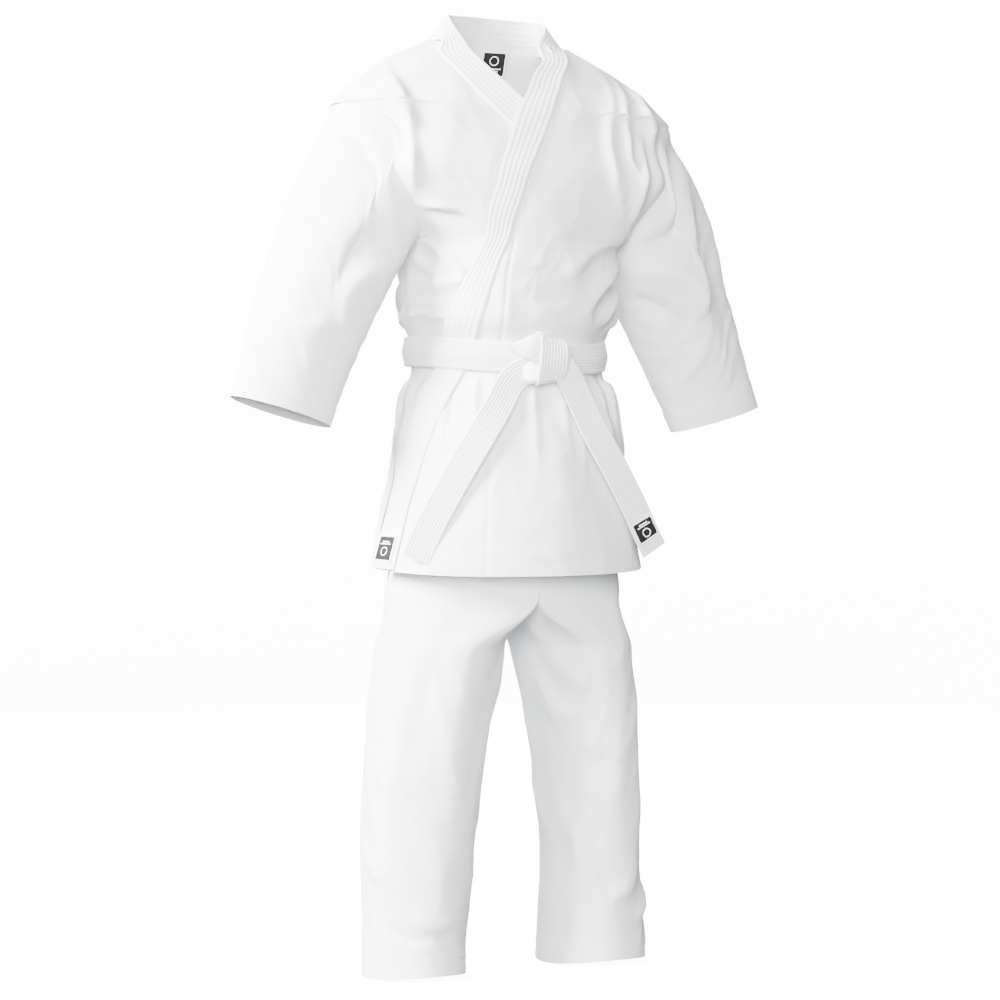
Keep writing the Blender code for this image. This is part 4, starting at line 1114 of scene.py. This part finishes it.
def makeLinings():
    z = np.linspace(seamZ - body["yokeDrop"], -0.070, 40)
    reach = armholeAngle(z, False) - 5
    angle = spread(180 - reach, 180 + reach, 90)
    zz = np.broadcast_to(z[:, None], angle.shape)
    grid = displaced(bodyPoint(angle, zz, -0.0035), 0.0025 * softNoise(angle / 20, zz * 12, 8))
    clothPiece("shoulderLining", grid, body["liningThick"],
               ("shoulder_lining_left", "shoulder_lining_right"), ("torso",))
    for first, tag in ((94, "left"), (254, "right")):
        low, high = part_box("vent_patch_" + tag)
        z = np.linspace(low.z, high.z, 9)
        angle = np.linspace(first, first + 12, 12)
        grid = bodyPoint(angle[None, :], np.broadcast_to(z[:, None], (9, 12)), -0.0002)
        clothPiece("ventPatch" + tag.capitalize(), grid, body["liningThick"],
                   ("vent_patch_" + tag,), ("torso", "back_skirt"), backBend)


makeJacketBack()
makeFrontRight()
makeFrontLeft()
bandGrid = makeCollarBand()
print("jacket sewn")
for side in (1, -1):
    makeSleeve(side)
    makeLeg(side)
makeWaist()
print("sleeves and trousers sewn")
makeBeltTurns()
makeKnot()
tails = {side: makeTail(side) for side in (1, -1)}
makeLinings()
makeNeckLabel()

# belt label on the wearer's left tail, near its end
tailGrid, tailNormals = tails[1]
labelOn("beltLabel", tailGrid, tailNormals, (-28, -11), (2, 44), 0.0026, "left_tail",
        replaced=("belt_patch",))
# lapel label on the outer lapel, just over the hem
bandNormals = gridNormals(bandGrid)
bandEnd = len(bandGrid)
labelOn("lapelLabel", bandGrid, bandNormals, (bandEnd - 14, bandEnd - 3), (3, 28), 0.0032, "front_skirt",
        blend=(("torso", "front_skirt"), frontBend), replaced=("lapel_patch",))

front = stitchesFrom("front", "stitchesFront")
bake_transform(front)
back = stitchesFrom("back", "stitchesBack")
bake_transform(back)
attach(stitchesFrom("torso", "stitchesBelt"), "torso")
for side, tag in ((1, "Left"), (-1, "Right")):
    low = tag.lower()
    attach(stitchesFrom("tail" + tag, "stitchesTail" + tag), low + "_tail")
    stitches = stitchesFrom("sleeve" + tag, "stitchesSleeve" + tag)
    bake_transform(stitches)
    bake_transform(stitchesFrom("leg" + tag, "stitchesLeg" + tag))
print("belt, labels and stitches done")


studio = dict(
    azimuth=-27.0, distance=3.75, lens=90.0, height=0.690, sideways=-0.006, floor=0.004,
    white="#FFFFFF", glow=12.0, sky=0.35,
    lights=(  # name, place across, back and up from the camera's side, size, power
        ("key", (-3.2, -1.9, 1.3), (1.2, 1.8), 2000),
        ("front", (-0.3, -4.2, 0.2), (2.0, 2.0), 680),
        ("behind", (-1.2, 3.6, 1.0), (2.0, 2.0), 700),
    ),
)


def addLight(name, place, target, size, power, colour):
    lamp = bpy.data.lights.new(name, "AREA")
    lamp.shape = "RECTANGLE"
    lamp.size, lamp.size_y = size
    lamp.energy = power
    lamp.color = srgb(colour)[:3]
    holder = addObject(name, lamp)
    holder.location = place
    holder.rotation_euler = (Vector(target) - Vector(place)).to_track_quat("-Z", "Y").to_euler()


def makeStudio():
    floorZ = legHemZ - studio["floor"]
    turn = math.radians(studio["azimuth"])
    ahead = np.array([-math.sin(turn), math.cos(turn), 0])
    rightward = np.array([math.cos(turn), math.sin(turn), 0])
    # a round floor that sweeps up into a wall on all sides
    bend = [(5.0 + 2 * math.sin(a), 2 - 2 * math.cos(a)) for a in np.linspace(0.1, math.pi / 2, 12)]
    profile = [(0.6, 0), (2.0, 0), (5.0, 0)] + bend + [(7.0, 7.0)]
    count = 64
    around = [2 * math.pi * i / count for i in range(count)]
    points = [(r * math.cos(a), r * math.sin(a), floorZ + h) for r, h in profile for a in around]
    points.insert(0, (0.0, 0.0, floorZ))
    faces = [(0, 1 + i, 1 + (i + 1) % count) for i in range(count)]
    for row in range(len(profile) - 1):
        for i in range(count):
            low, nextLow = 1 + row * count + i, 1 + row * count + (i + 1) % count
            faces.append((low, low + count, nextLow + count, nextLow))
    mesh = bpy.data.meshes.new("floor")
    mesh.from_pydata(points, [], faces)
    mesh.shade_smooth()
    # a pale ground without a horizon: it glows evenly, so no shadow falls on it
    paper, tree, surface = newMaterial("background paper, matt and lit from behind", {
        "Roughness": 0.95, "Emission Strength": studio["glow"], "Emission Color": srgb(studio["white"])})
    fleck = addNode(tree, "ShaderNodeTexNoise", {"Scale": 3.0})
    tinted(tree, surface, fleck.outputs["Fac"], "#FAFAFA", studio["white"])
    mesh.materials.append(paper)
    floor = addObject("floor", mesh)
    floor.visible_diffuse = False  # the paper is lit on its own and throws no light back on the cloth
    floor.visible_glossy = False
    floor.visible_shadow = False
    world = bpy.data.worlds.new("studio")
    world.use_nodes = True
    sky = world.node_tree.nodes["Background"]
    sky.inputs["Color"].default_value = srgb(studio["white"])
    sky.inputs["Strength"].default_value = studio["sky"]
    bpy.context.scene.world = world
    target = (0, 0, -0.6)
    at = lambda across, back, up: tuple(rightward * across + ahead * back + np.array([0, 0, up]))
    for name, place, size, power in studio["lights"]:
        addLight(name, at(*place), target, size, power, studio["white"])
    camera = bpy.data.cameras.new("camera")
    camera.lens = studio["lens"]
    camera.sensor_width = 36.0
    holder = addObject("camera", camera)
    place = -ahead * studio["distance"] + rightward * studio["sideways"]
    holder.location = (place[0], place[1], -studio["height"])
    holder.rotation_euler = (math.pi / 2, 0, turn)
    bpy.context.scene.camera = holder


makeStudio()
print("studio set")
